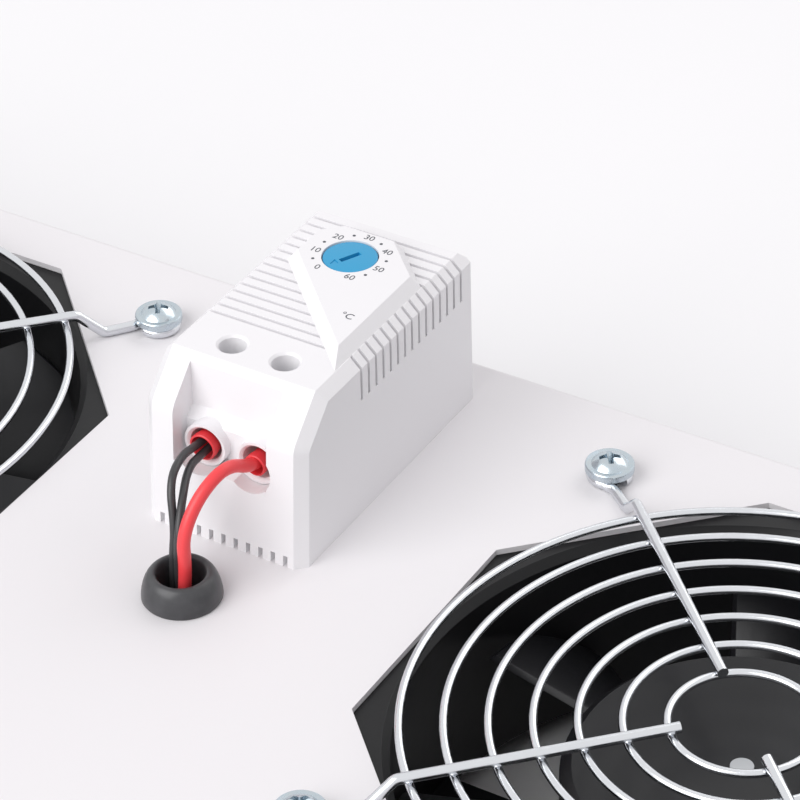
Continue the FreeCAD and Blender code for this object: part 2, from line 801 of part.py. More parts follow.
def make_housing():
    """The thermostat's cover: a sloped end with the terminal recess, vents and a dial deck."""
    body = new_body(cell("stat_x"), cell("stat_y"), deck_top)
    half, long, high = cell("stat_width") / 2, cell("stat_length") / 2, cell("stat_height")
    profile = sketch_on(body, "YZ_Plane", -half)
    outline(profile, [(-long, 0), (long, 0), (long - 0.6, high - 1.2), (long - 1.8, high),
                      (-20.7, high), (-28.3, high - 7.7)])
    feature(body, "Pad", profile, Length=cell("stat_width"))
    dress(body, "Fillet", "Radius", 4.0,
          lambda edge, mid: abs(mid.x) < 0.1 and mid.y < -25 and 20 < mid.z < 28)
    dress(body, "Chamfer", "Size", cell("stat_chamfer"),
          lambda edge, mid: abs(abs(mid.x) - half.value) < 0.01 and mid.z > 1 and mid.y < 28)

    cavity = sketch_on(body, "XY_Plane")
    room = half - cell("stat_wall")
    back = cell("recess_wall") + cell("stat_wall")
    rectangle(cavity, (-room, room), (back, long - cell("stat_wall")))
    pocket(body, cavity, high - 2.6, reverse=True)

    vent = sketch_on(body, "XZ_Plane", -cell("slot_start") + cell("slot_width") / 2)
    deep = high - cell("slot_depth")
    inner, low = room - 0.3, cell("slot_bottom")
    outer, above = half + 1, high + 1
    outline(vent, [(-outer, low), (-inner, low), (-inner, deep - 1.4), (-inner + 1.4, deep),
                   (inner - 1.4, deep), (inner, deep - 1.4), (inner, low), (outer, low),
                   (outer, above), (-outer, above)])
    arch = pocket(body, vent, cell("slot_width"))
    vents = body.newObject("PartDesign::LinearPattern", "vents")
    vents.Originals = [arch]
    vents.Direction = (origin_part(body, "Y_Axis"), [""])
    vents.Occurrences = int(cell("slot_count").value)
    bind(vents, "Length", cell("slot_pitch") * (cell("slot_count").value - 1))
    body.Tip = vents
    doc.recompute()

    def dial_deck(level, inset):
        """The outline of the raised deck round the dial, drawn in by an inset."""
        sketch = sketch_on(body, "XY_Plane", level)
        slant = inset * math.sqrt(2) - inset
        left, right, rear = -11.2 + inset, 14.4 - inset, 24.6 - inset
        lean = inset * math.sqrt(2)
        front_sum, rear_sum, back_gap = 0.2 + lean, 29.6 - lean, 31.4 - lean
        outline(sketch, [(right, front_sum - right), (right, rear_sum - right),
                         (rear_sum - rear, rear), (rear - back_gap, rear),
                         (left, left + back_gap), (left, front_sum - left)])
        return sketch

    feature(body, "Pad", dial_deck(deep - 0.3, 0.0), Length=cell("slot_depth") + 0.3)
    doc.recompute()
    slope = cell("platform_slope").value
    deck = body.newObject("PartDesign::AdditiveLoft", "dial_deck")
    deck.Profile = dial_deck(high, 0.0)
    deck.Sections = [dial_deck(high + cell("platform_rise"), slope)]
    deck.Ruled = True
    doc.recompute()

    recess = sketch_on(body, "YZ_Plane", cell("recess_right"))
    wall, front_wall, ledge = cell("recess_wall"), cell("funnel_wall"), cell("ledge")
    foot_of_wall = cell("terminal_z") + cell("funnel_outer") + 0.8
    outline(recess, [(-40, ledge), (front_wall, ledge), (front_wall, foot_of_wall - 1.8),
                     (wall, foot_of_wall), (wall, 50), (-40, 50)])
    pocket(body, recess, cell("recess_right") - cell("recess_left"))
    gutters = sketch_on(body, "XZ_Plane", -front_wall)
    for side in (-1, 1):
        circle(gutters, cell("terminal_x") * side, cell("terminal_z"), cell("funnel_outer") + 0.2)
    pocket(body, gutters, 10, reverse=True)
    funnels = sketch_on(body, "XZ_Plane", -cell("recess_wall") - 0.5)
    for side in (-1, 1):
        circle(funnels, cell("terminal_x") * side, cell("terminal_z"), cell("funnel_outer"))
    feature(body, "Pad", funnels, Length=cell("recess_wall") - cell("funnel_face") + 0.5)
    doc.recompute()
    bores = sketch_on(body, "XZ_Plane", -cell("funnel_face") + 1)
    for side in (-1, 1):
        circle(bores, cell("terminal_x") * side, cell("terminal_z"), cell("funnel_bore"))
    pocket(body, bores, cell("recess_wall") - cell("funnel_face") + 4)
    mouths = sketch_on(body, "XZ_Plane", -cell("funnel_face") + 0.1)
    for side in (-1, 1):
        circle(mouths, cell("terminal_x") * side, cell("terminal_z"),
               cell("funnel_bore") + cell("funnel_lip"))
    pocket(body, mouths, cell("funnel_lip"), taper=-45)
    notches = sketch_on(body, "XY_Plane", -1)
    count = int(cell("notch_count").value)
    for index in range(count):
        middle = cell("notch_pitch") * (index - (count - 1) / 2)
        rectangle(notches, (middle - 0.45, middle + 0.45), (-long - 1, -long + 1.6))
    pocket(body, notches, 3.2, reverse=True)
    access = sketch_on(body, "XY_Plane", high + 1)
    for side in (-1, 1):
        circle(access, cell("terminal_x") * side, cell("access_y"), cell("access_radius"))
    pocket(body, access, 5)
    dress(body, "Chamfer", "Size", 0.45,
          lambda edge, mid: on_circle(edge, cell("access_radius"))
          and abs(mid.z - high.value) < 0.01)
    well = sketch_on(body, "XY_Plane", high + cell("platform_rise") + 1)
    circle(well, 0, cell("dial_y"), cell("dial_radius") + cell("dial_gap"))
    pocket(body, well, cell("dial_thick") + 1.5)
    bore = sketch_on(body, "XY_Plane", high + cell("platform_rise") + 1)
    circle(bore, 0, cell("dial_y"), cell("spindle_radius") + cell("spindle_clearance"))
    pocket(body, bore, 9)
    finish("thermostat_housing", body)


def make_dial():
    """The round setting dial with its screwdriver slot, and the spindle under it."""
    top = deck_top + cell("stat_height") + cell("platform_rise") - 0.15
    spot = (cell("stat_x"), cell("stat_y") + cell("dial_y"))
    radius, thick = cell("dial_radius"), cell("dial_thick")
    body = new_body(spot[0], spot[1], top - thick)
    face = sketch_on(body, "XY_Plane")
    circle(face, 0, 0, radius)
    feature(body, "Pad", face, Length=thick)
    groove = sketch_on(body, "XY_Plane", thick + 1)
    lean = math.radians(60)
    ends = []
    for run, rise in ((-1.9, -0.35), (1.9, -0.35), (1.9, 0.35), (-1.9, 0.35)):
        ends.append((run * math.cos(lean) - rise * math.sin(lean),
                     run * math.sin(lean) + rise * math.cos(lean)))
    outline(groove, ends)
    pocket(body, groove, 1.9)
    dress(body, "Chamfer", "Size", 0.2,
          lambda edge, mid: edge.Length > 30 and mid.z > thick.value - 0.1)
    finish("thermostat_dial", body)
    length = measure(16.0)
    pin = rod("z", (spot[0], spot[1], top - thick - length), cell("spindle_radius"), length)
    finish("dial_spindle", pin)


def make_thermostat_inside():
    """What the cover closes over: base, switch block, bimetal strip, clamps and screws."""
    x, y = cell("stat_x"), cell("stat_y")
    room = cell("stat_width") / 2 - cell("stat_wall") - 0.1
    back = cell("recess_wall") + cell("stat_wall") + 0.1
    rear = cell("stat_length") / 2 - cell("stat_wall") - 0.1
    floor = box((x - room, x + room), (y + back, y + rear), (deck_top, deck_top + 2))
    bosses = []
    holes = []
    for side in (-1, 1):
        spot = (x + cell("stat_screw_x") * side, y + cell("stat_screw_y"))
        bosses.append(rod("z", spot + (deck_top,), 3.5, 8.0))
        holes.append(rod("z", spot + (deck_top - 1,), 1.5, 10.0))
    finish("thermostat_base", cut(fuse(floor, *bosses), *holes))
    block = box((x - 12, x + 12), (y + back + 0.2, y - 10.5), (deck_top + 2, deck_top + 14))
    finish("terminal_block", block)
    clamps, screws = [], []
    level = deck_top + cell("terminal_z")
    for side in (-1, 1):
        middle = x + cell("terminal_x") * side
        cage = box((middle - 3.6, middle + 3.6), (y - 19.6, y - 12), (deck_top + 14, deck_top + 23))
        way = rod("y", (middle, y - 20, level), 2.2, 9.0)
        thread = rod("z", (middle, y + cell("access_y"), deck_top + 20), 1.5, 4.0)
        clamps.append(cut(cage, way, thread))
        shank = rod("z", (middle, y + cell("access_y"), deck_top + 20.2), 1.5, 3.3)
        head = rod("z", (middle, y + cell("access_y"), deck_top + 23.5), 2.1, 2.5)
        nick = box((middle - 3, middle + 3), (y + cell("access_y") - 0.4, y + cell("access_y") + 0.4),
                   (deck_top + 25, deck_top + 27))
        screws.append(cut(fuse(shank, head), nick))
    finish("terminal_clamps", group(*clamps))
    finish("terminal_screws", group(*screws))
    strip = box((x - 3, x + 3), (y - 8, y + 26), (deck_top + 15, deck_top + 15.8))
    finish("bimetal_strip", strip)
    post = box((x - 4, x + 4), (y + 20, y + 27), (deck_top + 2, deck_top + 15))
    micro = box((x - 6, x + 6), (y - 8, y + 4), (deck_top + 2, deck_top + 12))
    finish("bimetal_post", post)
    finish("switch_block", micro)
    upside_down = FreeCAD.Rotation(FreeCAD.Vector(1, 0, 0), 180)
    spots = [((x + cell("stat_screw_x") * side).value, (y + cell("stat_screw_y")).value,
              deck_under.value) for side in SIDES.values()]
    finish("thermostat_screws", spread(pan_screw(7.0, "small_"), upside_down, spots))


# ---------------------------------------------------------------- wiring

def make_ferrules():
    """Crimped ferrules in the terminals: a plastic collar and a metal pin each."""
    level = deck_top + cell("terminal_z")
    face = cell("stat_y") + cell("funnel_face")
    proud, depth = cell("collar_proud"), cell("collar_length") - cell("collar_wall")
    for name, side in (("black", -1), ("red", 1)):
        middle = cell("stat_x") + cell("terminal_x") * side
        outer = cell(f"{name}_collar")
        sleeve = rod("y", (middle, face - proud, level), outer, cell("collar_length"))
        hollow = rod("y", (middle, face - proud - 1, level), outer - cell("collar_wall"), depth + 1)
        finish(f"ferrule_collar_{name}", cut(sleeve, hollow))
        pin_start = face - proud + cell("collar_length")
        finish(f"ferrule_pin_{name}", rod("y", (middle, pin_start, level),
                                          cell("ferrule_pin"), cell("ferrule_reach")))


def make_grommet():
    """A domed rubber grommet, grooved to grip the sheet, wider below than its hole."""
    bore, groove = cell("grommet_bore"), cell("grommet_groove")
    radius, mouth, high = cell("grommet_radius"), cell("grommet_mouth"), cell("grommet_height")
    sheet_foot = -cell("sheet_thick")
    turned("cable_grommet", [
        (bore, sheet_foot - 2.2), (radius - 1, sheet_foot - 2.2), (radius - 0.4, sheet_foot),
        (groove, sheet_foot), (groove, 0), (radius, 0), (radius, 1.0), (radius - 0.9, 3.4),
        (mouth + 0.9, high), (mouth, high), (bore, high - 1.5)],
        0, cell("grommet_y"), deck_top)


def make_terminal_strip():
    """A four-way screw strip under the deck, its brass tubes and its wire screws."""
    low = deck_under - cell("strip_height")
    half = cell("strip_pitch") * 2 + 1
    front, rear = cell("strip_y"), cell("strip_y") + cell("strip_depth")
    thread, bore, wall = cell("strip_screw"), cell("strip_bore"), cell("strip_wall")
    outer = bore + wall
    body = box((-half, half), (front, rear), (low, deck_under))
    ways, tubes, screws = [], [], []
    for place_in_row in (-1.5, -0.5, 0.5, 1.5):
        x = cell("strip_pitch") * place_in_row
        across, level = (x - outer, x + outer), (wire_level - outer, wire_level + outer)
        ways.append(box(across, (front - 1, rear + 1), level))
        tube = box(across, (front + wall, rear - wall), level)
        hollow = rod("y", (x, front, wire_level), bore, rear - front)
        threads = []
        for y in (front + cell("strip_screw_inset"), rear - cell("strip_screw_inset")):
            ways.append(rod("z", (x, y, low - 1), thread + 0.1, 6.0))
            threads.append(rod("z", (x, y, low), thread, wire_level - low))
            screws.append(rod("z", (x, y, low + 0.3), thread, wire_level - low - 1.3))
        tubes.append(cut(tube, hollow, *threads))
    middle = (front + rear) / 2
    shank, head = cell("strip_fixing"), cell("strip_fixing_head")
    ways.append(rod("z", (0, middle, low - 1), shank + 0.1, cell("strip_height") + 2))
    ways.append(rod("z", (0, middle, low - 1), head + 0.2, 4.0))
    fixing = [rod("z", (0, middle, low + 1), head, 2.0), rod("z", (0, middle, low + 3), shank, 9.0)]
    finish("strip_fixing", fuse(*fixing))
    finish("terminal_strip", cut(body, *ways))
    finish("strip_tubes", group(*tubes))
    finish("strip_screws", group(*screws))


def make_inlet():
    """A three-pin appliance inlet in the rear flange, with its pins, screws and nuts."""
    rear, flange = cell("tray_depth"), cell("inlet_flange")
    wide, high = cell("inlet_cutout_wide") / 2 - 0.1, cell("inlet_cutout_high") / 2 - 0.1
    long, tall = cell("inlet_flange_wide") / 2, cell("inlet_flange_high") / 2
    face = box((-long, long), (rear, rear + flange), (-tall, tall))
    back = rear - cell("inlet_depth")
    shroud = box((-wide, wide), (back, rear + 0.5), (-high, high))
    mouth_wide, mouth_high = wide - cell("inlet_wall"), high - cell("inlet_wall")
    socket = box((-mouth_wide, mouth_wide), (back + 5, rear + flange + 1),
                 (-mouth_high, mouth_high))
    holes = [rod("y", (cell("inlet_screw_x") * side, rear - 1, 0), cell("inlet_screw_hole"),
                 flange + 3) for side in SIDES.values()]
    pins, ways = [], []
    for place_in_row, z in ((-1, -2.0), (0, 2.0), (1, -2.0)):
        x = cell("inlet_pin_pitch") * place_in_row
        across, level = (x - 2, x + 2), (measure(z - 1), measure(z + 1))
        ways.append(box(across, (back - 1, back + 6), level))
        pins.append(box(across, (back - 6, rear - 3), level))
    finish("mains_inlet", cut(fuse(face, shroud), socket, *holes, *ways))
    finish("inlet_pins", group(*pins))
    facing_rear = FreeCAD.Rotation(FreeCAD.Vector(1, 0, 0), -90)
    across = [cell("inlet_screw_x").value * side for side in SIDES.values()]
    head_y = rear.value + flange.value
    nut_y = rear.value - cell("sheet_thick").value - cell("small_nut_height").value
    finish("inlet_screws", spread(pan_screw(9.5, "small_"), facing_rear,
                                  [(x, head_y, 0) for x in across]))
    finish("inlet_nuts", spread(hex_nut("small_"), facing_rear, [(x, nut_y, 0) for x in across]))


def make_earth_stud():
    """An earth stud through the rear flange, its nut and the earth wire's ring terminal."""
    x, z = cell("earth_x"), cell("earth_z")
    shank, sheet_inside = cell("screw_radius"), cell("tray_depth") - cell("sheet_thick")
    thick, barrel_radius = cell("earth_tag_thick"), cell("earth_barrel")
    head = rod("y", (x, cell("tray_depth"), z), cell("nut_flats") / 2, 2.2)
    stud = rod("y", (x, sheet_inside - 9, z), shank, cell("sheet_thick") + 10)
    finish("earth_stud", fuse(head, stud))
    ring = rod("y", (x, sheet_inside - thick, z), shank * 2 + 0.2, thick)
    tongue = box((x - 2.2, x + 2.2), (sheet_inside - thick, sheet_inside), (z - 12, z - 2))
    barrel = rod("z", (x, sheet_inside - barrel_radius, z - 15), barrel_radius, 6.0)
    eye = rod("y", (x, sheet_inside - 2, z), shank + 0.05, 3.0)
    bore = rod("z", (x, sheet_inside - barrel_radius, z - 16), cell("supply_wire") / 2, 5.0)
    finish("earth_terminal", cut(fuse(ring, tongue, barrel), eye, bore))
    facing_front = FreeCAD.Rotation(FreeCAD.Vector(1, 0, 0), 90)
    finish("earth_nut", spread(hex_nut(), facing_front,
                               [(x.value, sheet_inside.value - thick.value, z.value)]))


def make_leads():
    """Every wire that the tray holds, from terminal to terminal."""
    way = wire_level.value
    lead("wire_red", [
        (3.9, 81.2, 39.1), (3.8, 77.4, 39.3), (2.8, 71.4, 43.4), (1.4, 64.7, 40.8),
        (0.4, 60.4, 34.6), (0.9, 60.0, 28.4), (0.8, 59.2, 21.8), (0.0, 60.8, 13.6),
        (-2.2, 68.6, 9.6), (-4.0, 79.0, way), (-4.0, 88.0, way)],
        cell("red_wire"))
    lead("wire_black_left", [
        (-7.4, 81.2, 39.7), (-7.5, 77.4, 39.9), (-7.2, 72.1, 41.2), (-5.8, 66.2, 39.9),
        (-3.0, 63.0, 32.9), (-2.8, 61.7, 28.4), (-2.6, 61.0, 21.8), (-2.8, 61.4, 17.0),
        (-5.0, 65.0, 11.6), (-9.2, 71.8, 11.8), (-12.0, 79.6, way), (-12.0, 87.6, way)],
        cell("black_wire"))
    lead("wire_black_right", [
        (-6.4, 81.2, 38.4), (-6.4, 77.4, 38.5), (-5.9, 72.1, 39.2), (-2.9, 65.4, 37.0),
        (-1.4, 61.7, 33.4), (-1.3, 60.9, 28.4), (-1.1, 60.5, 21.8), (-0.8, 62.4, 16.0),
        (2.0, 70.8, 12.8), (4.0, 79.6, way), (4.0, 87.6, way)],
        cell("black_wire"))
    lead("fan_lead_left", [
        (-43.7, 93.9, -8.0), (-37.5, 100.8, -1.6), (-28.5, 107.6, 8.6), (-17.6, 109.8, 15.0),
        (-12.0, 105.0, way), (-12.0, 98.6, way)],
        cell("fan_lead"))
    lead("fan_lead_right", [
        (43.7, 93.9, -8.0), (37.6, 100.9, -1.6), (28.4, 108.2, 9.2), (16.0, 111.0, 16.0),
        (6.0, 108.8, 15.4), (4.0, 104.4, way), (4.0, 98.6, way)],
        cell("fan_lead"))
    lead("supply_live", [
        (-7.0, 120.0, -2.0), (-7.0, 114.6, -2.0), (-6.4, 109.8, 3.0), (-4.6, 106.4, 9.2),
        (-4.0, 102.8, way), (-4.0, 98.4, way)],
        cell("supply_wire"))
    lead("supply_neutral", [
        (7.0, 120.0, -2.0), (7.0, 114.6, -2.0), (9.2, 109.8, 3.0), (11.4, 106.4, 9.2),
        (12.0, 102.8, way), (12.0, 98.4, way)],
        cell("supply_wire"))
    end_y = 143.2
    lead("supply_earth", [
        (0.0, 120.0, 2.0), (0.0, 115.4, 2.0), (-2.4, 112.4, -3.0), (-9.4, 112.8, -10.0),
        (-18.0, 118.2, -13.8), (-27.0, 128.0, -16.4), (-33.2, 138.6, -17.6),
        (-34.0, end_y, -12.6), (-34.0, end_y, -6.0)],
        cell("supply_wire"))


make_tray_body()
make_front_panel()
make_fasteners()
for side_name, side_sign in SIDES.items():
    fan_middle = cell("fan_pitch") / 2 * side_sign
    make_fan_frame(side_name, fan_middle)
    make_impeller(side_name, fan_middle)
    make_motor(side_name, fan_middle)
    make_guard(side_name, fan_middle)
make_housing()
make_dial()
make_thermostat_inside()
make_ferrules()
make_grommet()
make_terminal_strip()
make_inlet()
make_earth_stud()
make_leads()

doc.recompute()
for item in doc.Objects:
    if "Invalid" in item.State or "Error" in item.State:
        raise RuntimeError(f"{item.Name} ({item.Label}) failed: {item.State}")
os.makedirs("parts", exist_ok=True)
for node, item in parts.items():
    shape = item.Shape
    if shape.isNull() or not shape.isValid():
        raise RuntimeError(f"{node} has no valid shape")
    shape.exportStep(f"parts/{node}.step")
print(len(parts), "sub-parts written")
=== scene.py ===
import math

import bmesh
import bpy
from mathutils import Matrix, Vector


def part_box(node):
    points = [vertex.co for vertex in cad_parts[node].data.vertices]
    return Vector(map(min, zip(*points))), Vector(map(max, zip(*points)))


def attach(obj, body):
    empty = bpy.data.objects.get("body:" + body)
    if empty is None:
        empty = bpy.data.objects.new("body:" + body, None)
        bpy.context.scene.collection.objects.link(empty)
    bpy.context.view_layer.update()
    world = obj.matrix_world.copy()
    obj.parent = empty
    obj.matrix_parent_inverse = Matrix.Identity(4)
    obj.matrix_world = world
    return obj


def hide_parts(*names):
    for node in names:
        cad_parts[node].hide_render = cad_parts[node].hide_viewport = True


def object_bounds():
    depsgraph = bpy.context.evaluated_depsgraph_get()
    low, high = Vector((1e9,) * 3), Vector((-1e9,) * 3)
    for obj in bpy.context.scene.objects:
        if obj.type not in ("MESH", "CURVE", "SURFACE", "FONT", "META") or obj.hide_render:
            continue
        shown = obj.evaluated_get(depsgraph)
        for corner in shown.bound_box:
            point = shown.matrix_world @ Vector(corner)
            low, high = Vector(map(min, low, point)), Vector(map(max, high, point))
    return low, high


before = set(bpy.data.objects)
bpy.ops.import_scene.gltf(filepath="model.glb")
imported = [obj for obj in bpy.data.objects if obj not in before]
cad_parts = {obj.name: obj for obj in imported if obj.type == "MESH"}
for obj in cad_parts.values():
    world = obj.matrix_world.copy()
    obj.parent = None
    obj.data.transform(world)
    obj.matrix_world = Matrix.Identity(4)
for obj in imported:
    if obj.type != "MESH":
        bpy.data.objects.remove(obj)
cad_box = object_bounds()
MM = 0.001

# ---------------------------------------------------------------- studio
# The tray lies on a pale table under one large soft lamp from the front left and a weaker
# one from the back. The camera looks down across the deck from the front right corner.

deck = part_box("tray_body")[1].z


def srgb(code):
    """A colour written as sRGB hex, as the linear colour that the shaders take."""
    parts = [int(code[i:i + 2], 16) / 255 for i in (1, 3, 5)]
    return [c / 12.92 if c <= 0.04045 else ((c + 0.055) / 1.055) ** 2.4 for c in parts] + [1.0]


def node(tree, kind, inputs=(), **settings):
    """Add one node: its settings, then its inputs, each a value or the socket that feeds it."""
    made = tree.nodes.new(kind)
    for name, value in settings.items():
        setattr(made, name, value)
    for name, value in dict(inputs).items():
        if isinstance(value, bpy.types.NodeSocket):
            tree.links.new(value, made.inputs[name])
        else:
            made.inputs[name].default_value = value
    return made


def aimed(data, name, place, target, roll=0.0):
    """A camera or lamp at a place, turned to look at a target."""
    thing = bpy.data.objects.new(name, data)
    bpy.context.scene.collection.objects.link(thing)
    turn = (Vector(target) - Vector(place)).to_track_quat("-Z", "Y").to_matrix()
    thing.matrix_world = (Matrix.Translation(place) @ turn.to_4x4()
                          @ Matrix.Rotation(math.radians(roll), 4, "Z"))
    return thing


view_azimuth, view_elevation = math.radians(31.276), math.radians(35.834)
view_distance = 0.6703
view_target = Vector((0.0035, 0.1277, deck))
view_side = Vector((math.sin(view_azimuth), -math.cos(view_azimuth), 0))
view_place = view_target + view_distance * (view_side * math.cos(view_elevation)
                                            + Vector((0, 0, math.sin(view_elevation))))
camera = bpy.data.cameras.new("camera")
camera.sensor_width = 36.0
camera.lens = 162.875
camera.clip_start = 0.01
bpy.context.scene.camera = aimed(camera, "camera", view_place, view_target, roll=-1.167)
bpy.context.scene.view_settings.view_transform = "Standard"

for name, place, size, power in (
        ("window", (-0.42, -0.95, 0.92), 1.3, 17.0),
        ("back_fill", (0.35, 1.25, 0.95), 1.2, 6.5)):
    lamp = bpy.data.lights.new(name, "AREA")
    lamp.shape = "SQUARE"
    lamp.size = size
    lamp.energy = power
    aimed(lamp, name, place, (0, 0.07, 0))

world = bpy.data.worlds.new("room")
bpy.context.scene.world = world
world.use_nodes = True
world.node_tree.nodes.clear()
ray = node(world.node_tree, "ShaderNodeLightPath")
seen = node(world.node_tree, "ShaderNodeMath", {
    0: ray.outputs["Is Camera Ray"], 1: ray.outputs["Is Glossy Ray"]}, operation="MAXIMUM")
dim = node(world.node_tree, "ShaderNodeBackground", {"Color": srgb("#FFFCFF"), "Strength": 0.54})
white = node(world.node_tree, "ShaderNodeBackground", {"Color": srgb("#FFFFFF"), "Strength": 1.0})
room = node(world.node_tree, "ShaderNodeMixShader",
            {"Fac": seen.outputs[0], 1: dim.outputs[0], 2: white.outputs[0]})
node(world.node_tree, "ShaderNodeOutputWorld", {"Surface": room.outputs[0]})


def material(name, inputs):
    """A new material with its Principled shader."""
    made = bpy.data.materials.new(name)
    made.use_nodes = True
    made.node_tree.nodes.clear()
    shader = node(made.node_tree, "ShaderNodeBsdfPrincipled", inputs)
    node(made.node_tree, "ShaderNodeOutputMaterial", {"Surface": shader.outputs[0]})
    return made, made.node_tree, shader


table_white, tree, shader = material("matt_white_laminate", {
    "Base Color": srgb("#F6F6F7"), "Roughness": 0.6})
# Pressed laminate: a pebble about 2 mm across, coarser than the real one so that it shows.
at = node(tree, "ShaderNodeTexCoord").outputs["Object"]
pebble = node(tree, "ShaderNodeTexNoise", {"Vector": at, "Scale": 1 / (2.0 * MM), "Detail": 2.0})
press = node(tree, "ShaderNodeBump", {"Height": pebble.outputs["Fac"], "Strength": 0.1,
                                      "Distance": 0.05 * MM})
tree.links.new(press.outputs[0], shader.inputs["Normal"])
table = bpy.data.meshes.new("table")
reach = 3.0
foot = cad_box[0].z
table.from_pydata([(-reach, -reach, foot), (reach, -reach, foot), (reach, reach, foot),
                   (-reach, reach, foot)], [], [(0, 1, 2, 3)])
table.materials.append(table_white)
table_top = bpy.data.objects.new("table_top", table)
bpy.context.scene.collection.objects.link(table_top)

# ---------------------------------------------------------------- folded tray and panel
# 1.2 mm sheet steel, punched and folded, with a 2 mm front panel screwed on. Both wear a
# light grey polyester powder coat, which flows a little round every cut edge.

powder_coat, tree, shader = material("light_grey_powder_coat", {
    "Base Color": srgb("#E9E7E9"), "Roughness": 0.46, "Specular IOR Level": 0.45})
# A fine orange peel: waves about 1.4 mm across with specks of 0.3 mm in them.
at = node(tree, "ShaderNodeTexCoord").outputs["Object"]
waves = node(tree, "ShaderNodeTexNoise", {"Vector": at, "Scale": 1 / (1.4 * MM), "Detail": 2.0})
specks = node(tree, "ShaderNodeTexNoise", {"Vector": at, "Scale": 1 / (0.3 * MM), "Detail": 1.0})
both = node(tree, "ShaderNodeMath", {0: waves.outputs["Fac"], 1: specks.outputs["Fac"]})
peel = node(tree, "ShaderNodeBump", {"Height": both.outputs[0], "Strength": 0.16,
                                     "Distance": 0.04 * MM})
tree.links.new(peel.outputs[0], shader.inputs["Normal"])
# The coat's gloss drifts over patches about 60 mm wide.
patches = node(tree, "ShaderNodeTexNoise", {"Vector": at, "Scale": 1 / (60 * MM)})
gloss = node(tree, "ShaderNodeMapRange", {"Value": patches.outputs["Fac"], "To Min": 0.42,
                                          "To Max": 0.50})
tree.links.new(gloss.outputs[0], shader.inputs["Roughness"])


def piece(name, mesh, finish, body="tray", replaces=()):
    """Put a finished mesh in the scene as a piece of the object."""
    made = bpy.data.objects.new(name, mesh)
    bpy.context.scene.collection.objects.link(made)
    if finish is not None:
        mesh.materials.clear()
        mesh.materials.append(finish)
    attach(made, body)
    if replaces:
        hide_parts(*replaces)
    return made


def eased(node_name, name, width, finish, body="tray", segments=2, angle=28,
          long_width=None):
    """A CAD node with its faces merged and its edges eased, its long edges more if asked."""
    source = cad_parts[node_name]
    mesh = bpy.data.meshes.new(name)
    shape = bmesh.new()
    shape.from_mesh(source.data)
    bmesh.ops.remove_doubles(shape, verts=shape.verts, dist=0.002 * MM)
    bmesh.ops.dissolve_limit(shape, angle_limit=math.radians(1.0), verts=shape.verts,
                             edges=shape.edges)
    for face in shape.faces:
        face.smooth = True
    widest = long_width or width
    weight = shape.edges.layers.float.new("bevel_weight_edge")
    for edge in shape.edges:
        if len(edge.link_faces) == 2 and edge.calc_face_angle(0) > math.radians(angle):
            edge[weight] = 1.0 if edge.calc_length() > 7 * MM else width / widest
    shape.to_mesh(mesh)
    shape.free()
    made = piece(name, mesh, finish, body, (node_name,))
    soften = made.modifiers.new("eased_edges", "BEVEL")
    soften.width = widest * MM
    soften.segments = segments
    soften.limit_method = "WEIGHT"
    level = made.modifiers.new("even_normals", "WEIGHTED_NORMAL")
    level.keep_sharp = True
    return made


eased("tray_body", "tray_sheet", 0.18, powder_coat)
eased("front_panel", "panel_plate", 0.25, powder_coat)

# ---------------------------------------------------------------- finger guards
# Spring steel wire, welded and bright nickel-chrome plated: concentric rings with four
# spokes on top, each joggled down to the deck and bent into an open eye round its screw.

chrome_wire, tree, shader = material("nickel_chrome_plated_wire", {
    "Base Color": srgb("#DADCE0"), "Metallic": 1.0, "Roughness": 0.17})
at = node(tree, "ShaderNodeTexCoord").outputs["Object"]
# Drawing marks and plating haze about 2 mm long, coarser than the real ones so that they show.
haze = node(tree, "ShaderNodeTexNoise", {"Vector": at, "Scale": 1 / (2.0 * MM), "Detail": 3.0})
dull = node(tree, "ShaderNodeMapRange", {"Value": haze.outputs["Fac"], "From Min": 0.3,
                                         "From Max": 0.7, "To Min": 0.12, "To Max": 0.26})
tree.links.new(dull.outputs[0], shader.inputs["Roughness"])

fan_x = (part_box("finger_guard_right")[0].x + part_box("finger_guard_right")[1].x) / 2
fan_y = (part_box("finger_guard_right")[0].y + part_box("finger_guard_right")[1].y) / 2
ring_outer, ring_pitch, ring_wire, ring_lift = 56.3 * MM, 7.3 * MM, 1.5 * MM, 4.2 * MM
spoke_wire, eye_radius, screw_square = 2.0 * MM, 3.3 * MM, 105.0 * MM
ring_count = 7


def tree_with(name, sockets):
    """A new geometry node tree with named inputs, and its input and output nodes."""
    made = bpy.data.node_groups.new(name, "GeometryNodeTree")
    made.interface.new_socket("Geometry", in_out="INPUT", socket_type="NodeSocketGeometry")
    for title, kind in sockets:
        made.interface.new_socket(title, in_out="INPUT", socket_type=f"NodeSocket{kind}")
    made.interface.new_socket("Geometry", in_out="OUTPUT", socket_type="NodeSocketGeometry")
    start = node(made, "NodeGroupInput")
    return made, start


def end_tree(made, start, geometry):
    """Finish a tree: instances made real and given their material."""
    real = node(made, "GeometryNodeRealizeInstances", {"Geometry": geometry})
    painted = node(made, "GeometryNodeSetMaterial", {
        "Geometry": real.outputs[0], "Material": start.outputs["Material"]})
    node(made, "NodeGroupOutput", {"Geometry": painted.outputs[0]})


def run_tree(name, made, base, values):
    """The mesh that a tree makes from a base mesh with these inputs."""
    holder = bpy.data.objects.new(name, base)
    bpy.context.scene.collection.objects.link(holder)
    modifier = holder.modifiers.new("build", "NODES")
    modifier.node_group = made
    for item in made.interface.items_tree:
        if item.in_out == "INPUT" and item.name in values:
            modifier[item.identifier] = values[item.name]
    bpy.context.view_layer.update()
    seen = holder.evaluated_get(bpy.context.evaluated_depsgraph_get())
    mesh = bpy.data.meshes.new_from_object(seen)
    bpy.data.objects.remove(holder)
    mesh.name = name
    return mesh


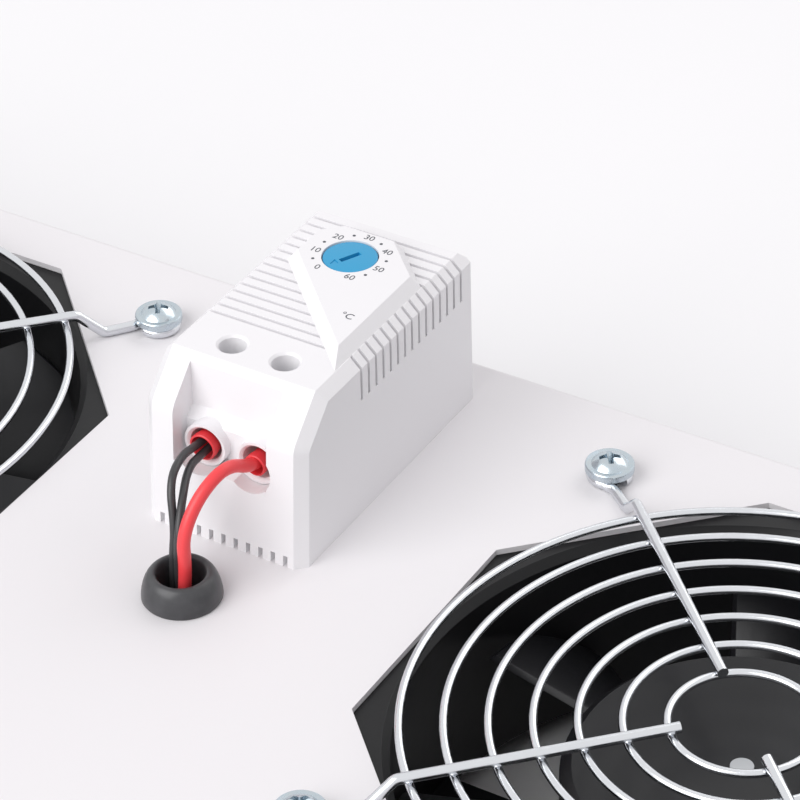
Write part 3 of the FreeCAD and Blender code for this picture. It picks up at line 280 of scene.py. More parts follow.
ring_tree, start = tree_with("concentric_rings", [
    ("Outer Radius", "Float"), ("Pitch", "Float"), ("Count", "Int"), ("Wire", "Float"),
    ("Centre", "Vector"), ("Material", "Material")])
dots = node(ring_tree, "GeometryNodePoints", {"Count": start.outputs["Count"],
                                              "Position": start.outputs["Centre"]})
step = node(ring_tree, "ShaderNodeMath", {0: node(ring_tree, "GeometryNodeInputIndex").outputs[0],
                                          1: start.outputs["Pitch"]}, operation="MULTIPLY")
radius = node(ring_tree, "ShaderNodeMath", {0: start.outputs["Outer Radius"],
                                            1: step.outputs[0]}, operation="SUBTRACT")
unit_ring = node(ring_tree, "GeometryNodeCurvePrimitiveCircle", {"Resolution": 128, "Radius": 1.0})
rings = node(ring_tree, "GeometryNodeInstanceOnPoints", {
    "Points": dots.outputs[0], "Instance": unit_ring.outputs[0], "Scale": radius.outputs[0]})
lines = node(ring_tree, "GeometryNodeRealizeInstances", {"Geometry": rings.outputs[0]})
even = node(ring_tree, "GeometryNodeSetCurveRadius", {"Curve": lines.outputs[0], "Radius": 1.0})
half_wire = node(ring_tree, "ShaderNodeMath", {0: start.outputs["Wire"], 1: 0.5},
                 operation="MULTIPLY")
section = node(ring_tree, "GeometryNodeCurvePrimitiveCircle", {
    "Resolution": 12, "Radius": half_wire.outputs[0]})
tubes = node(ring_tree, "GeometryNodeCurveToMesh", {
    "Curve": even.outputs[0], "Profile Curve": section.outputs[0]})
smooth = node(ring_tree, "GeometryNodeSetShadeSmooth", {"Geometry": tubes.outputs[0]})
end_tree(ring_tree, start, smooth.outputs[0])

# One pattern copied to many spots: each vertex of the base mesh is a spot, and its "turn"
# says how far the copy is turned there.
spot_tree, start = tree_with("pattern_at_spots", [("Pattern", "Object"), ("Material", "Material")])
pattern = node(spot_tree, "GeometryNodeObjectInfo", {"Object": start.outputs["Pattern"]})
turn = node(spot_tree, "GeometryNodeInputNamedAttribute", {"Name": "turn"},
            data_type="FLOAT_VECTOR")
copies = node(spot_tree, "GeometryNodeInstanceOnPoints", {
    "Points": start.outputs["Geometry"], "Instance": pattern.outputs["Geometry"],
    "Rotation": turn.outputs[0]})
end_tree(spot_tree, start, copies.outputs[0])


def at_spots(name, pattern_mesh, spots, finish):
    """Copies of one mesh, each at a spot with its turn about X, Y and Z."""
    base = bpy.data.meshes.new(name)
    base.from_pydata([place for place, _ in spots], [], [])
    turns = base.attributes.new("turn", "FLOAT_VECTOR", "POINT")
    for index, (_, angles) in enumerate(spots):
        turns.data[index].vector = angles
    holder = bpy.data.objects.new(name + "_pattern", pattern_mesh)
    bpy.context.scene.collection.objects.link(holder)
    made = run_tree(name, spot_tree, base, {"Pattern": holder, "Material": finish})
    bpy.data.objects.remove(holder)
    return made


def bent(corners, radius, steps=6):
    """The line of a bent wire: straight runs joined by arcs of one radius."""
    points = [corners[0]]
    for before, corner, after in zip(corners, corners[1:], corners[2:]):
        arrive, leave = (corner - before).normalized(), (after - corner).normalized()
        half_turn = arrive.angle(leave) / 2
        reach = radius * math.tan(half_turn)
        inward = (leave - arrive).normalized()
        centre = corner + inward * radius / math.cos(half_turn)
        for index in range(steps + 1):
            share = (2 * index / steps - 1) * half_turn
            points.append(centre - inward * radius * math.cos(share)
                          + (arrive + leave).normalized() * radius * math.sin(share))
        assert reach < (corner - before).length
    points.append(corners[-1])
    return points


def tube(points, diameter, smooth_line=False):
    """The mesh of a round wire along a line: exact, or eased as a NURBS line of its points."""
    curve = bpy.data.curves.new("wire", "CURVE")
    curve.dimensions = "3D"
    curve.bevel_depth = diameter / 2
    curve.bevel_resolution = 4
    curve.use_fill_caps = True
    line = curve.splines.new("NURBS" if smooth_line else "POLY")
    line.points.add(len(points) - 1)
    for point, place in zip(line.points, points):
        point.co = (*place, 1.0)
    if smooth_line:
        line.order_u = 3
        line.use_endpoint_u = True
        line.resolution_u = 8
    holder = bpy.data.objects.new("wire", curve)
    bpy.context.scene.collection.objects.link(holder)
    seen = holder.evaluated_get(bpy.context.evaluated_depsgraph_get())
    mesh = bpy.data.meshes.new_from_object(seen)
    bpy.data.objects.remove(holder)
    for face in mesh.polygons:
        face.use_smooth = len(face.vertices) == 4
    return mesh


def joined(name, meshes):
    """Several meshes as one."""
    shape = bmesh.new()
    for mesh in meshes:
        shape.from_mesh(mesh)
    made = bpy.data.meshes.new(name)
    shape.to_mesh(made)
    shape.free()
    return made


# One spoke lies along X from the guard's centre. It ends in the open eye round its screw.
screw_reach = screw_square / math.sqrt(2)
spoke_level = ring_lift + ring_wire / 2 + spoke_wire / 2 - 0.2 * MM
spoke_start = ring_outer - ring_pitch * (ring_count - 1) - 1.5 * MM
eye_first, eye_step, eye_points = 145, 8.2, 37
eye_line = []
for index in range(eye_points):
    angle = math.radians(eye_first - index * eye_step)
    eye_line.append(Vector((screw_reach + eye_radius * math.cos(angle),
                            eye_radius * math.sin(angle), spoke_wire / 2)))
joggle_from, joggle_to, bend_radius = 58.6 * MM, 63.6 * MM, 1.6 * MM
spoke_line = bent([Vector((spoke_start, 0, spoke_level)), Vector((joggle_from, 0, spoke_level)),
                   Vector((joggle_to, 0, spoke_wire / 2)),
                   Vector((69.4 * MM, 0.6 * MM, spoke_wire / 2)), eye_line[0]], bend_radius)
spoke = tube(spoke_line + eye_line[1:], spoke_wire)
for name, side in (("left", -1), ("right", 1)):
    centre = Vector((fan_x * side, fan_y, deck))
    rings = run_tree(f"guard_rings_{name}", ring_tree, bpy.data.meshes.new("rings"), {
        "Outer Radius": ring_outer, "Pitch": ring_pitch, "Count": ring_count,
        "Wire": ring_wire, "Centre": centre + Vector((0, 0, ring_lift)),
        "Material": chrome_wire})
    spokes = at_spots(f"guard_spokes_{name}", spoke, [
        (centre, (0, 0, math.radians(angle))) for angle in (45, 135, 225, 315)], chrome_wire)
    piece(f"guard_{name}", joined(f"guard_{name}", [rings, spokes]), chrome_wire,
          replaces=(f"finger_guard_{name}",))

# ---------------------------------------------------------------- screws
# Pan-head cross-recess machine screws, cold headed from steel wire, zinc plated and blue
# passivated. Each stands where it happened to stop turning.

zinc, tree, shader = material("blue_zinc_plated_steel", {
    "Base Color": srgb("#C3CCD2"), "Metallic": 1.0, "Roughness": 0.22})
at = node(tree, "ShaderNodeTexCoord").outputs["Object"]
# Plating cloud about 1.5 mm across: bluer and duller in patches.
cloud = node(tree, "ShaderNodeTexNoise", {"Vector": at, "Scale": 1 / (1.5 * MM), "Detail": 3.0})
tint = node(tree, "ShaderNodeMix", {"Factor": cloud.outputs["Fac"], "A": srgb("#CBD0D2"),
                                    "B": srgb("#B2C2CE")}, data_type="RGBA")
tree.links.new(tint.outputs["Result"], shader.inputs["Base Color"])
cloudy = node(tree, "ShaderNodeMapRange", {"Value": cloud.outputs["Fac"], "From Min": 0.3,
                                           "From Max": 0.7, "To Min": 0.16, "To Max": 0.32})
tree.links.new(cloudy.outputs[0], shader.inputs["Roughness"])


def lathe(name, profile, steps=48, sharp=30):
    """A turned mesh from an outline of radius and height, closed on the axis or on itself."""
    shape = bmesh.new()
    loops = []
    for radius, height in profile:
        if radius < 1e-7:
            loops.append([shape.verts.new((0, 0, height))])
            continue
        loops.append([shape.verts.new((radius * math.cos(2 * math.pi * i / steps),
                                       radius * math.sin(2 * math.pi * i / steps), height))
                      for i in range(steps)])
    closed = len(loops[0]) > 1
    pairs = list(zip(loops, loops[1:])) + ([(loops[-1], loops[0])] if closed else [])
    for lower, upper in pairs:
        for i in range(steps):
            ring = [lower[i % len(lower)], lower[(i + 1) % len(lower)],
                    upper[(i + 1) % len(upper)], upper[i % len(upper)]]
            shape.faces.new(list(dict.fromkeys(ring)))
    bmesh.ops.recalc_face_normals(shape, faces=shape.faces)
    for face in shape.faces:
        face.smooth = True
    for edge in shape.edges:
        if len(edge.link_faces) == 2 and edge.calc_face_angle(0) > math.radians(sharp):
            edge.smooth = False
    mesh = bpy.data.meshes.new(name)
    shape.to_mesh(mesh)
    shape.free()
    return mesh


def arc(centre, radius, first, last, steps=6):
    """Points of a profile along an arc, its angles in degrees from the radius direction."""
    spots = []
    for index in range(steps + 1):
        angle = math.radians(first + (last - first) * index / steps)
        spots.append((centre[0] + radius * math.cos(angle), centre[1] + radius * math.sin(angle)))
    return spots


def cut_away(mesh, cutters):
    """A mesh with others taken out of it."""
    holder = bpy.data.objects.new("whole", mesh)
    bpy.context.scene.collection.objects.link(holder)
    tools = []
    for cutter in cutters:
        tool = bpy.data.objects.new("cutter", cutter)
        bpy.context.scene.collection.objects.link(tool)
        tools.append(tool)
        boolean = holder.modifiers.new("cut", "BOOLEAN")
        boolean.operation = "DIFFERENCE"
        boolean.solver = "EXACT"
        boolean.object = tool
    seen = holder.evaluated_get(bpy.context.evaluated_depsgraph_get())
    made = bpy.data.meshes.new_from_object(seen)
    for thing in [holder, *tools]:
        bpy.data.objects.remove(thing)
    return made


def prism(outline, low, high, taper=1.0):
    """An outline of X and Y drawn up from low to high, scaled by taper at its foot."""
    shape = bmesh.new()
    foot = [shape.verts.new((x * taper, y * taper, low)) for x, y in outline]
    top = [shape.verts.new((x, y, high)) for x, y in outline]
    shape.faces.new(list(reversed(foot)))
    shape.faces.new(top)
    for i in range(len(outline)):
        j = (i + 1) % len(outline)
        shape.faces.new([foot[i], foot[j], top[j], top[i]])
    mesh = bpy.data.meshes.new("prism")
    shape.to_mesh(mesh)
    shape.free()
    return mesh


def pan_screw(name, head, rim, top, shank, length):
    """A pan-head screw with a cross recess, standing on the underside of its head."""
    dome = (head ** 2 * 0.62 + (top - rim) ** 2) / (2 * (top - rim))
    sweep = math.degrees(math.acos(1 - (top - rim - 0.25 * MM) / dome))
    profile = [(0, -length), (shank - 0.5 * MM, -length), (shank, -length + 0.5 * MM),
               (shank, 0), (head - 0.15 * MM, 0), (head, 0.15 * MM), (head, rim)]
    profile += [(head - 0.35 * MM + 0.35 * MM * math.cos(math.radians(a)),
                 rim + 0.35 * MM * math.sin(math.radians(a))) for a in (30, 60)]
    profile += arc((0, top - dome), dome, 90 - sweep, 90, 8)
    profile[-1] = (0, top)
    arm, wide = head * 0.53, head * 0.125
    corner = wide * 1.7
    cross = []
    for quarter in range(4):
        turn = Matrix.Rotation(math.radians(90 * quarter), 2)
        cross += [tuple(turn @ Vector(p)) for p in (
            (arm, -wide), (arm, wide), (corner, wide), (wide * 1.25, wide * 1.25))]
        cross.append(tuple(turn @ Vector((wide, corner))))
    recess = prism(cross, top - head * 0.52, top + 0.5 * MM, taper=0.42)
    return cut_away(lathe(name, profile), [recess])


def rolled(count, seed):
    """Screw angles that look unplanned, the same on every run."""
    return [((index + 1) * 137.5 + seed) % 90 for index in range(count)]


fan_screw = pan_screw("fan_screw", 4.5 * MM, 1.2 * MM, 3.1 * MM, 2.0 * MM, 14.0 * MM)
spots = []
for side in (-1, 1):
    for across in (-1, 1):
        for along in (-1, 1):
            spots.append((fan_x * side + across * screw_square / 2,
                          fan_y + along * screw_square / 2, deck + spoke_wire))
turns = rolled(len(spots), 20)
piece("fan_screw_set", at_spots("fan_screw_set", fan_screw, [
    (place, (0, 0, math.radians(turn))) for place, turn in zip(spots, turns)], zinc),
    zinc, replaces=("fan_screws",))

panel_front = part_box("front_panel")[0].y
panel_screw = pan_screw("panel_screw", 2.8 * MM, 0.8 * MM, 2.0 * MM, 1.5 * MM, 9.0 * MM)
spots = [(x * MM, panel_front, 0) for x in (-205.0, -70.0, 70.0, 205.0)]
turns = rolled(len(spots), 5)
piece("panel_screw_set", at_spots("panel_screw_set", panel_screw, [
    (place, (math.radians(90), math.radians(turn), 0)) for place, turn in zip(spots, turns)],
    zinc), zinc, replaces=("panel_screws",))



def dressed(names, finish):
    """Give CAD nodes that are shown as they are their finish."""
    for name in names:
        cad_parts[name].data.materials.clear()
        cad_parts[name].data.materials.append(finish)


dressed(("fan_nuts", "panel_nuts", "thermostat_screws", "inlet_screws", "inlet_nuts",
         "earth_stud", "earth_nut", "strip_screws", "terminal_screws", "strip_fixing"), zinc)

# ---------------------------------------------------------------- fans
# Two 120 mm fans hang under the deck: die-cast aluminium frames in black paint, glass-filled
# black impellers moulded in one piece, and a shaded-pole motor in each hub.

fan_paint, tree, shader = material("black_paint_on_die_cast_aluminium", {
    "Base Color": srgb("#151517"), "Roughness": 0.36, "Specular IOR Level": 0.28})
at = node(tree, "ShaderNodeTexCoord").outputs["Object"]
# The casting's skin shows through the paint as ripples about 2.5 mm across.
skin = node(tree, "ShaderNodeTexNoise", {"Vector": at, "Scale": 1 / (2.5 * MM), "Detail": 4.0})
ripple = node(tree, "ShaderNodeBump", {"Height": skin.outputs["Fac"], "Strength": 0.2,
                                       "Distance": 0.1 * MM})
tree.links.new(ripple.outputs[0], shader.inputs["Normal"])

blade_plastic, tree, shader = material("black_glass_filled_polyamide", {
    "Base Color": srgb("#18181B"), "Roughness": 0.33, "Specular IOR Level": 0.34})
at = node(tree, "ShaderNodeTexCoord").outputs["Object"]
# Glass fibre gives the moulding a faint flow grain about 0.8 mm wide.
flow = node(tree, "ShaderNodeTexNoise", {"Vector": at, "Scale": 1 / (0.8 * MM), "Detail": 3.0,
                                         "Distortion": 0.6})
grain = node(tree, "ShaderNodeMapRange", {"Value": flow.outputs["Fac"], "To Min": 0.26,
                                          "To Max": 0.42})
tree.links.new(grain.outputs[0], shader.inputs["Roughness"])

ground_steel, tree, shader = material("ground_steel", {
    "Base Color": srgb("#B9BBBE"), "Metallic": 1.0, "Roughness": 0.3})
at = node(tree, "ShaderNodeTexCoord").outputs["Object"]
# Grinding marks in bands about 1 mm apart, coarser than the real ones. A wave's bands are
# 2 pi / 20 of its stated size apart, here of 3 mm.
lines = node(tree, "ShaderNodeTexWave", {"Vector": at, "Scale": 1 / (3.0 * MM),
                                         "Distortion": 2.0}, bands_direction="Z")
lay = node(tree, "ShaderNodeMapRange", {"Value": lines.outputs["Fac"], "To Min": 0.24,
                                        "To Max": 0.38})
tree.links.new(lay.outputs[0], shader.inputs["Roughness"])

laminations, tree, shader = material("varnished_iron_laminations", {
    "Base Color": srgb("#6E665F"), "Metallic": 0.7, "Roughness": 0.5})
at = node(tree, "ShaderNodeTexCoord").outputs["Object"]
# Sheets stacked along the shaft. Real ones are 0.5 mm, and these bands are 3 mm apart.
sheets = node(tree, "ShaderNodeTexWave", {"Vector": at, "Scale": 1 / (0.5 * MM) / 20},
              bands_direction="Z")
edge = node(tree, "ShaderNodeBump", {"Height": sheets.outputs["Fac"], "Strength": 0.4,
                                     "Distance": 0.05 * MM})
tree.links.new(edge.outputs[0], shader.inputs["Normal"])

bronze, tree, shader = material("sintered_bronze", {
    "Base Color": srgb("#A9814C"), "Metallic": 1.0, "Roughness": 0.42})
at = node(tree, "ShaderNodeTexCoord").outputs["Object"]
# Pores between the grains, about 0.2 mm across.
pores = node(tree, "ShaderNodeTexVoronoi", {"Vector": at, "Scale": 1 / (0.2 * MM)})
pits = node(tree, "ShaderNodeBump", {"Height": pores.outputs["Distance"], "Strength": 0.3,
                                     "Distance": 0.02 * MM})
tree.links.new(pits.outputs[0], shader.inputs["Normal"])

for name in ("left", "right"):
    eased(f"fan_frame_{name}", f"frame_casting_{name}", 0.3, fan_paint)
    eased(f"impeller_{name}", f"blade_wheel_{name}", 0.12, blade_plastic, f"rotor_{name}",
          segments=2, angle=40)
    dressed((f"fan_shaft_{name}", f"rotor_cage_{name}"), ground_steel)
    dressed((f"fan_stator_{name}",), laminations)
    dressed((f"fan_bearings_{name}",), bronze)

# ---------------------------------------------------------------- thermostat cover
# A white ABS cover, injection moulded with a fine spark-eroded skin: vent slots over its
# top and sides, a raised dial deck and a sloped end with two wire funnels.

moulded_white, tree, shader = material("white_moulded_abs", {
    "Base Color": srgb("#EFEEF0"), "Roughness": 0.4, "Specular IOR Level": 0.5})
at = node(tree, "ShaderNodeTexCoord").outputs["Object"]
# Spark-eroded grain about 0.25 mm across.
erode = node(tree, "ShaderNodeTexNoise", {"Vector": at, "Scale": 1 / (0.25 * MM), "Detail": 2.0})
matt = node(tree, "ShaderNodeBump", {"Height": erode.outputs["Fac"], "Strength": 0.12,
                                     "Distance": 0.02 * MM})
tree.links.new(matt.outputs[0], shader.inputs["Normal"])
eased("thermostat_housing", "thermostat_cover", 0.14, moulded_white,
      segments=3, long_width=0.45)
# Under each access hole the moulding runs down as a tube that leads the screwdriver.
low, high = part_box("terminal_screws")
hole_radius, hole_span = 2.5 * MM, 10.8 * MM
guide_wall, guide_length = 0.8 * MM, 3.8 * MM
guide = lathe("guide", [(hole_radius, 0), (hole_radius + guide_wall, 0),
                        (hole_radius + guide_wall, guide_length), (hole_radius, guide_length)])
piece("screw_guides", at_spots("screw_guides", guide, [
    (((low.x + high.x + hole_span * side) / 2, (low.y + high.y) / 2, high.z + 0.2 * MM), (0, 0, 0))
    for side in (-1, 1)], moulded_white), moulded_white)
dressed(("thermostat_base", "terminal_block", "switch_block", "dial_spindle"), moulded_white)

# ---------------------------------------------------------------- dial and its print
# A blue moulded knob that a screwdriver turns, with a moulded pointer. Round it the cover
# is pad printed in dark grey with tens of degrees and a dot between each pair.

knob_blue, tree, shader = material("blue_moulded_polycarbonate", {
    "Base Color": srgb("#2E9CCB"), "Roughness": 0.34, "Specular IOR Level": 0.5})
at = node(tree, "ShaderNodeTexCoord").outputs["Object"]
# A satin skin with a grain about 0.2 mm across.
fine = node(tree, "ShaderNodeTexNoise", {"Vector": at, "Scale": 1 / (0.2 * MM)})
satin = node(tree, "ShaderNodeBump", {"Height": fine.outputs["Fac"], "Strength": 0.08,
                                      "Distance": 0.02 * MM})
tree.links.new(satin.outputs[0], shader.inputs["Normal"])

dial_low, dial_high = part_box("thermostat_dial")
dial_centre = (dial_low + dial_high) / 2
dial_top = dial_high.z
dial_radius = (dial_high.x - dial_low.x) / 2
thick = dial_high.z - dial_low.z
knob = lathe("knob", [(0, -thick), (dial_radius, -thick), (dial_radius, -0.25 * MM)]
             + arc((dial_radius - 0.25 * MM, -0.25 * MM), 0.25 * MM, 0, 90, 4)[1:] + [(0, 0)],
             steps=72)
# The groove and the pointer are cut down from above the knob's face, at the knob's zero.
scale_start, scale_step, groove_angle, above = 240, 50, 62.7, 0.5 * MM
run, rise, groove_depth = 2.1 * MM, 0.5 * MM, 0.9 * MM
groove = prism([(-run, -rise), (run, -rise), (run, rise), (-run, rise)], -groove_depth, above)
groove.transform(Matrix.Rotation(math.radians(groove_angle), 4, "Z"))
tip, arrow_long, arrow_half, arrow_depth = 4.2 * MM, 1.5 * MM, 0.75 * MM, 0.14 * MM
arrow = prism([(tip, 0), (tip - arrow_long, arrow_half), (tip - arrow_long, -arrow_half)],
              -arrow_depth, above)
arrow.transform(Matrix.Rotation(math.radians(scale_start), 4, "Z"))
knob = cut_away(knob, [groove, arrow])
knob.transform(Matrix.Translation((dial_centre.x, dial_centre.y, dial_top)))
piece("set_dial", knob, knob_blue, "dial", ("thermostat_dial",))

print_ink, tree, shader = material("dark_grey_pad_print", {
    "Base Color": srgb("#4B4E55"), "Roughness": 0.5})
at = node(tree, "ShaderNodeTexCoord").outputs["Object"]
# The pad lays ink a little thicker and thinner over about 0.3 mm.
patchy = node(tree, "ShaderNodeTexNoise", {"Vector": at, "Scale": 1 / (0.3 * MM)})
shade = node(tree, "ShaderNodeMix", {"Factor": patchy.outputs["Fac"], "A": srgb("#44474E"),
                                     "B": srgb("#5A5D64")}, data_type="RGBA")
tree.links.new(shade.outputs["Result"], shader.inputs["Base Color"])

ink_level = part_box("thermostat_housing")[1].z
ink_thick = 0.03 * MM


def printed(text, height, x, y):
    """A word of the print, centred on its place, as a thin mesh."""
    curve = bpy.data.curves.new("print", "FONT")
    curve.body = text
    curve.size = height / 0.7
    curve.align_x = "CENTER"
    curve.align_y = "CENTER"
    curve.extrude = ink_thick / 2
    curve.resolution_u = 3
    holder = bpy.data.objects.new("print", curve)
    bpy.context.scene.collection.objects.link(holder)
    seen = holder.evaluated_get(bpy.context.evaluated_depsgraph_get())
    mesh = bpy.data.meshes.new_from_object(seen)
    bpy.data.objects.remove(holder)
    mesh.transform(Matrix.Translation((x, y, ink_level + ink_thick / 2)))
    return mesh


number_radius, number_height, number_count = 6.7 * MM, 1.45 * MM, 7
marks = []
for index in range(number_count):
    angle = math.radians(scale_start - scale_step * index)
    marks.append(printed(str(10 * index), number_height,
                         dial_centre.x + number_radius * math.cos(angle),
                         dial_centre.y + number_radius * math.sin(angle)))
    if index < number_count - 1:
        between = angle - math.radians(scale_step / 2)
        dot = lathe("dot", [(0, 0), (0.3 * MM, 0), (0.3 * MM, ink_thick), (0, ink_thick)], 16)
        dot.transform(Matrix.Translation((dial_centre.x + number_radius * math.cos(between),
                                          dial_centre.y + number_radius * math.sin(between),
                                          ink_level)))
        marks.append(dot)
marks.append(printed("°C", 1.6 * MM, dial_centre.x + 9.3 * MM, dial_centre.y - 16.4 * MM))
piece("dial_print", joined("dial_print", marks), print_ink)

# ---------------------------------------------------------------- wires and ferrules
# Stranded copper in soft PVC: one red wire and two thin black ones, with red plastic
# collars on their crimped ferrules. They go down through the rubber grommet in the deck.


def pvc(name, colour, rough):
    """Extruded PVC: smooth, with dusty patches about 3 mm long."""
    made, tree, shader = material(name, {"Base Color": srgb(colour), "Roughness": rough})
    at = node(tree, "ShaderNodeTexCoord").outputs["Object"]
    dust = node(tree, "ShaderNodeTexNoise", {"Vector": at, "Scale": 1 / (3 * MM), "Detail": 4.0})
    patch = node(tree, "ShaderNodeMapRange", {"Value": dust.outputs["Fac"],
                                              "To Min": rough - 0.08, "To Max": rough + 0.1})
    tree.links.new(patch.outputs[0], shader.inputs["Roughness"])
    return made


red_pvc = pvc("red_extruded_pvc", "#F0464B", 0.34)
black_pvc = pvc("black_extruded_pvc", "#3A3A3C", 0.32)
brown_pvc = pvc("brown_extruded_pvc", "#5E3A22", 0.4)
blue_pvc = pvc("blue_extruded_pvc", "#2C5E9E", 0.4)
green_pvc = pvc("green_extruded_pvc", "#5E8F2A", 0.4)
collar_red = pvc("red_moulded_polypropylene", "#E23A41", 0.34)

strip_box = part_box("terminal_strip")
way = 13.6
wire_red = [(3.9, 81.2, 39.1), (3.8, 77.4, 39.3), (2.8, 71.4, 43.4), (1.4, 64.7, 40.8),
            (0.4, 60.4, 34.6), (0.9, 60.0, 28.4), (0.8, 59.2, 21.8), (0.0, 60.8, 13.6),
            (-2.2, 68.6, 9.6), (-4.0, 79.0, way), (-4.0, 88.0, way)]
wire_black_left = [(-7.4, 81.2, 39.7), (-7.5, 77.4, 39.9), (-7.2, 72.1, 41.2),
                   (-5.8, 66.2, 39.9), (-3.0, 63.0, 32.9), (-2.8, 61.7, 28.4),
                   (-2.6, 61.0, 21.8), (-2.8, 61.4, 17.0), (-5.0, 65.0, 11.6),
                   (-9.2, 71.8, 11.8), (-12.0, 79.6, way), (-12.0, 87.6, way)]
wire_black_right = [(-6.4, 81.2, 38.4), (-6.4, 77.4, 38.5), (-5.9, 72.1, 39.2),
                    (-2.9, 65.4, 37.0), (-1.4, 61.7, 33.4), (-1.3, 60.9, 28.4),
                    (-1.1, 60.5, 21.8), (-0.8, 62.4, 16.0), (2.0, 70.8, 12.8),
                    (4.0, 79.6, way), (4.0, 87.6, way)]
fan_lead_left = [(-43.7, 93.9, -8.0), (-37.5, 100.8, -1.6), (-28.5, 107.6, 8.6),
                 (-17.6, 109.8, 15.0), (-12.0, 105.0, way), (-12.0, 98.6, way)]
fan_lead_right = [(43.7, 93.9, -8.0), (37.6, 100.9, -1.6), (28.4, 108.2, 9.2),
                  (16.0, 111.0, 16.0), (6.0, 108.8, 15.4), (4.0, 104.4, way),
                  (4.0, 98.6, way)]
supply_live = [(-7.0, 120.0, -2.0), (-7.0, 114.6, -2.0), (-6.4, 109.8, 3.0),
               (-4.6, 106.4, 9.2), (-4.0, 102.8, way), (-4.0, 98.4, way)]
supply_neutral = [(7.0, 120.0, -2.0), (7.0, 114.6, -2.0), (9.2, 109.8, 3.0),
                  (11.4, 106.4, 9.2), (12.0, 102.8, way), (12.0, 98.4, way)]
supply_earth = [(0.0, 120.0, 2.0), (0.0, 115.4, 2.0), (-2.4, 112.4, -3.0),
                (-9.4, 112.8, -10.0), (-18.0, 118.2, -13.8), (-27.0, 128.0, -16.4),
                (-33.2, 138.6, -17.6), (-34.0, 143.2, -12.6), (-34.0, 143.2, -6.0)]
for name, route, diameter, finish, slot in (
        ("wire_red", wire_red, 2.4, red_pvc, "wire_red"),
        ("wire_black_left", wire_black_left, 1.5, black_pvc, "wire_black"),
        ("wire_black_right", wire_black_right, 1.5, black_pvc, "wire_black"),
        ("fan_lead_left", fan_lead_left, 3.0, black_pvc, "wire_black"),
        ("fan_lead_right", fan_lead_right, 3.0, black_pvc, "wire_black"),
        ("supply_live", supply_live, 2.0, brown_pvc, "wire_brown"),
        ("supply_neutral", supply_neutral, 2.0, blue_pvc, "wire_blue"),
        ("supply_earth", supply_earth, 2.0, green_pvc, "wire_green")):
    line = [Vector(point) * MM for point in route]
    piece(name + "_pvc", tube(line, diameter * MM, smooth_line=True), finish,
          replaces=(name,))

for name in ("black", "red"):
    low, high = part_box(f"ferrule_collar_{name}")
    outer = (high.x - low.x) / 2
    inner = outer - 0.5 * MM
    length = high.y - low.y
    sleeve = lathe("sleeve", [
        (0, 0), (outer * 0.8, 0), (outer - 0.2 * MM, 0.6 * MM), (outer - 0.2 * MM, length * 0.6),
        (outer, length - 1.2 * MM), (outer, length - 0.15 * MM), (outer - 0.15 * MM, length),
        (outer - 0.35 * MM, length), (inner, length - 0.5 * MM), (inner - 0.1 * MM, 1.0 * MM),
        (0, 1.0 * MM)], steps=40)
    sleeve.transform(Matrix.Translation(((low.x + high.x) / 2, high.y, (low.z + high.z) / 2))
                     @ Matrix.Rotation(math.radians(90), 4, "X"))
    piece(f"collar_{name}", sleeve, collar_red,
          replaces=(f"ferrule_collar_{name}",))

tin, tree, shader = material("tin_plated_copper", {
    "Base Color": srgb("#C4C2BD"), "Metallic": 1.0, "Roughness": 0.34})
at = node(tree, "ShaderNodeTexCoord").outputs["Object"]
# Dipped tin freezes in spangles about 0.7 mm across.
spangle = node(tree, "ShaderNodeTexVoronoi", {"Vector": at, "Scale": 1 / (0.7 * MM)})
frost = node(tree, "ShaderNodeMapRange", {"Value": spangle.outputs["Distance"], "To Min": 0.26,
                                          "To Max": 0.44})
tree.links.new(frost.outputs[0], shader.inputs["Roughness"])

brass, tree, shader = material("bright_drawn_brass", {
    "Base Color": srgb("#C8A45C"), "Metallic": 1.0, "Roughness": 0.26})
at = node(tree, "ShaderNodeTexCoord").outputs["Object"]
# Air darkens drawn brass in clouds about 2 mm across.
tarnish = node(tree, "ShaderNodeTexNoise", {"Vector": at, "Scale": 1 / (2.0 * MM), "Detail": 3.0})
tone = node(tree, "ShaderNodeMix", {"Factor": tarnish.outputs["Fac"], "A": srgb("#D0AE68"),
                                    "B": srgb("#B48D48")}, data_type="RGBA")
tree.links.new(tone.outputs["Result"], shader.inputs["Base Color"])

strip_steel, tree, shader = material("rolled_bimetal_strip", {
    "Base Color": srgb("#A79E92"), "Metallic": 1.0, "Roughness": 0.4})
at = node(tree, "ShaderNodeTexCoord").outputs["Object"]
# Rolling leaves fine lines along the strip, drawn here 0.4 mm apart so that they show.
rolled_lines = node(tree, "ShaderNodeTexNoise", {
    "Vector": node(tree, "ShaderNodeMapping", {"Vector": at, "Scale": (1.0, 0.04, 1.0)}).outputs[0],
    "Scale": 1 / (0.4 * MM)})
grip = node(tree, "ShaderNodeMapRange", {"Value": rolled_lines.outputs["Fac"], "To Min": 0.3,
                                         "To Max": 0.5})
tree.links.new(grip.outputs[0], shader.inputs["Roughness"])
dressed(("ferrule_pin_black", "ferrule_pin_red", "earth_terminal"), tin)
dressed(("terminal_clamps", "strip_tubes", "inlet_pins"), brass)
dressed(("bimetal_strip", "bimetal_post"), strip_steel)

# ---------------------------------------------------------------- grommet
# A domed bush of black EPDM rubber, pushed through the deck, with a thick lip round its
# mouth. It is moulded in two halves, and handling leaves it slightly dusty.

rubber, tree, shader = material("dusty_black_epdm_rubber", {
    "Base Color": srgb("#3C3C3F"), "Roughness": 0.34})
at = node(tree, "ShaderNodeTexCoord").outputs["Object"]
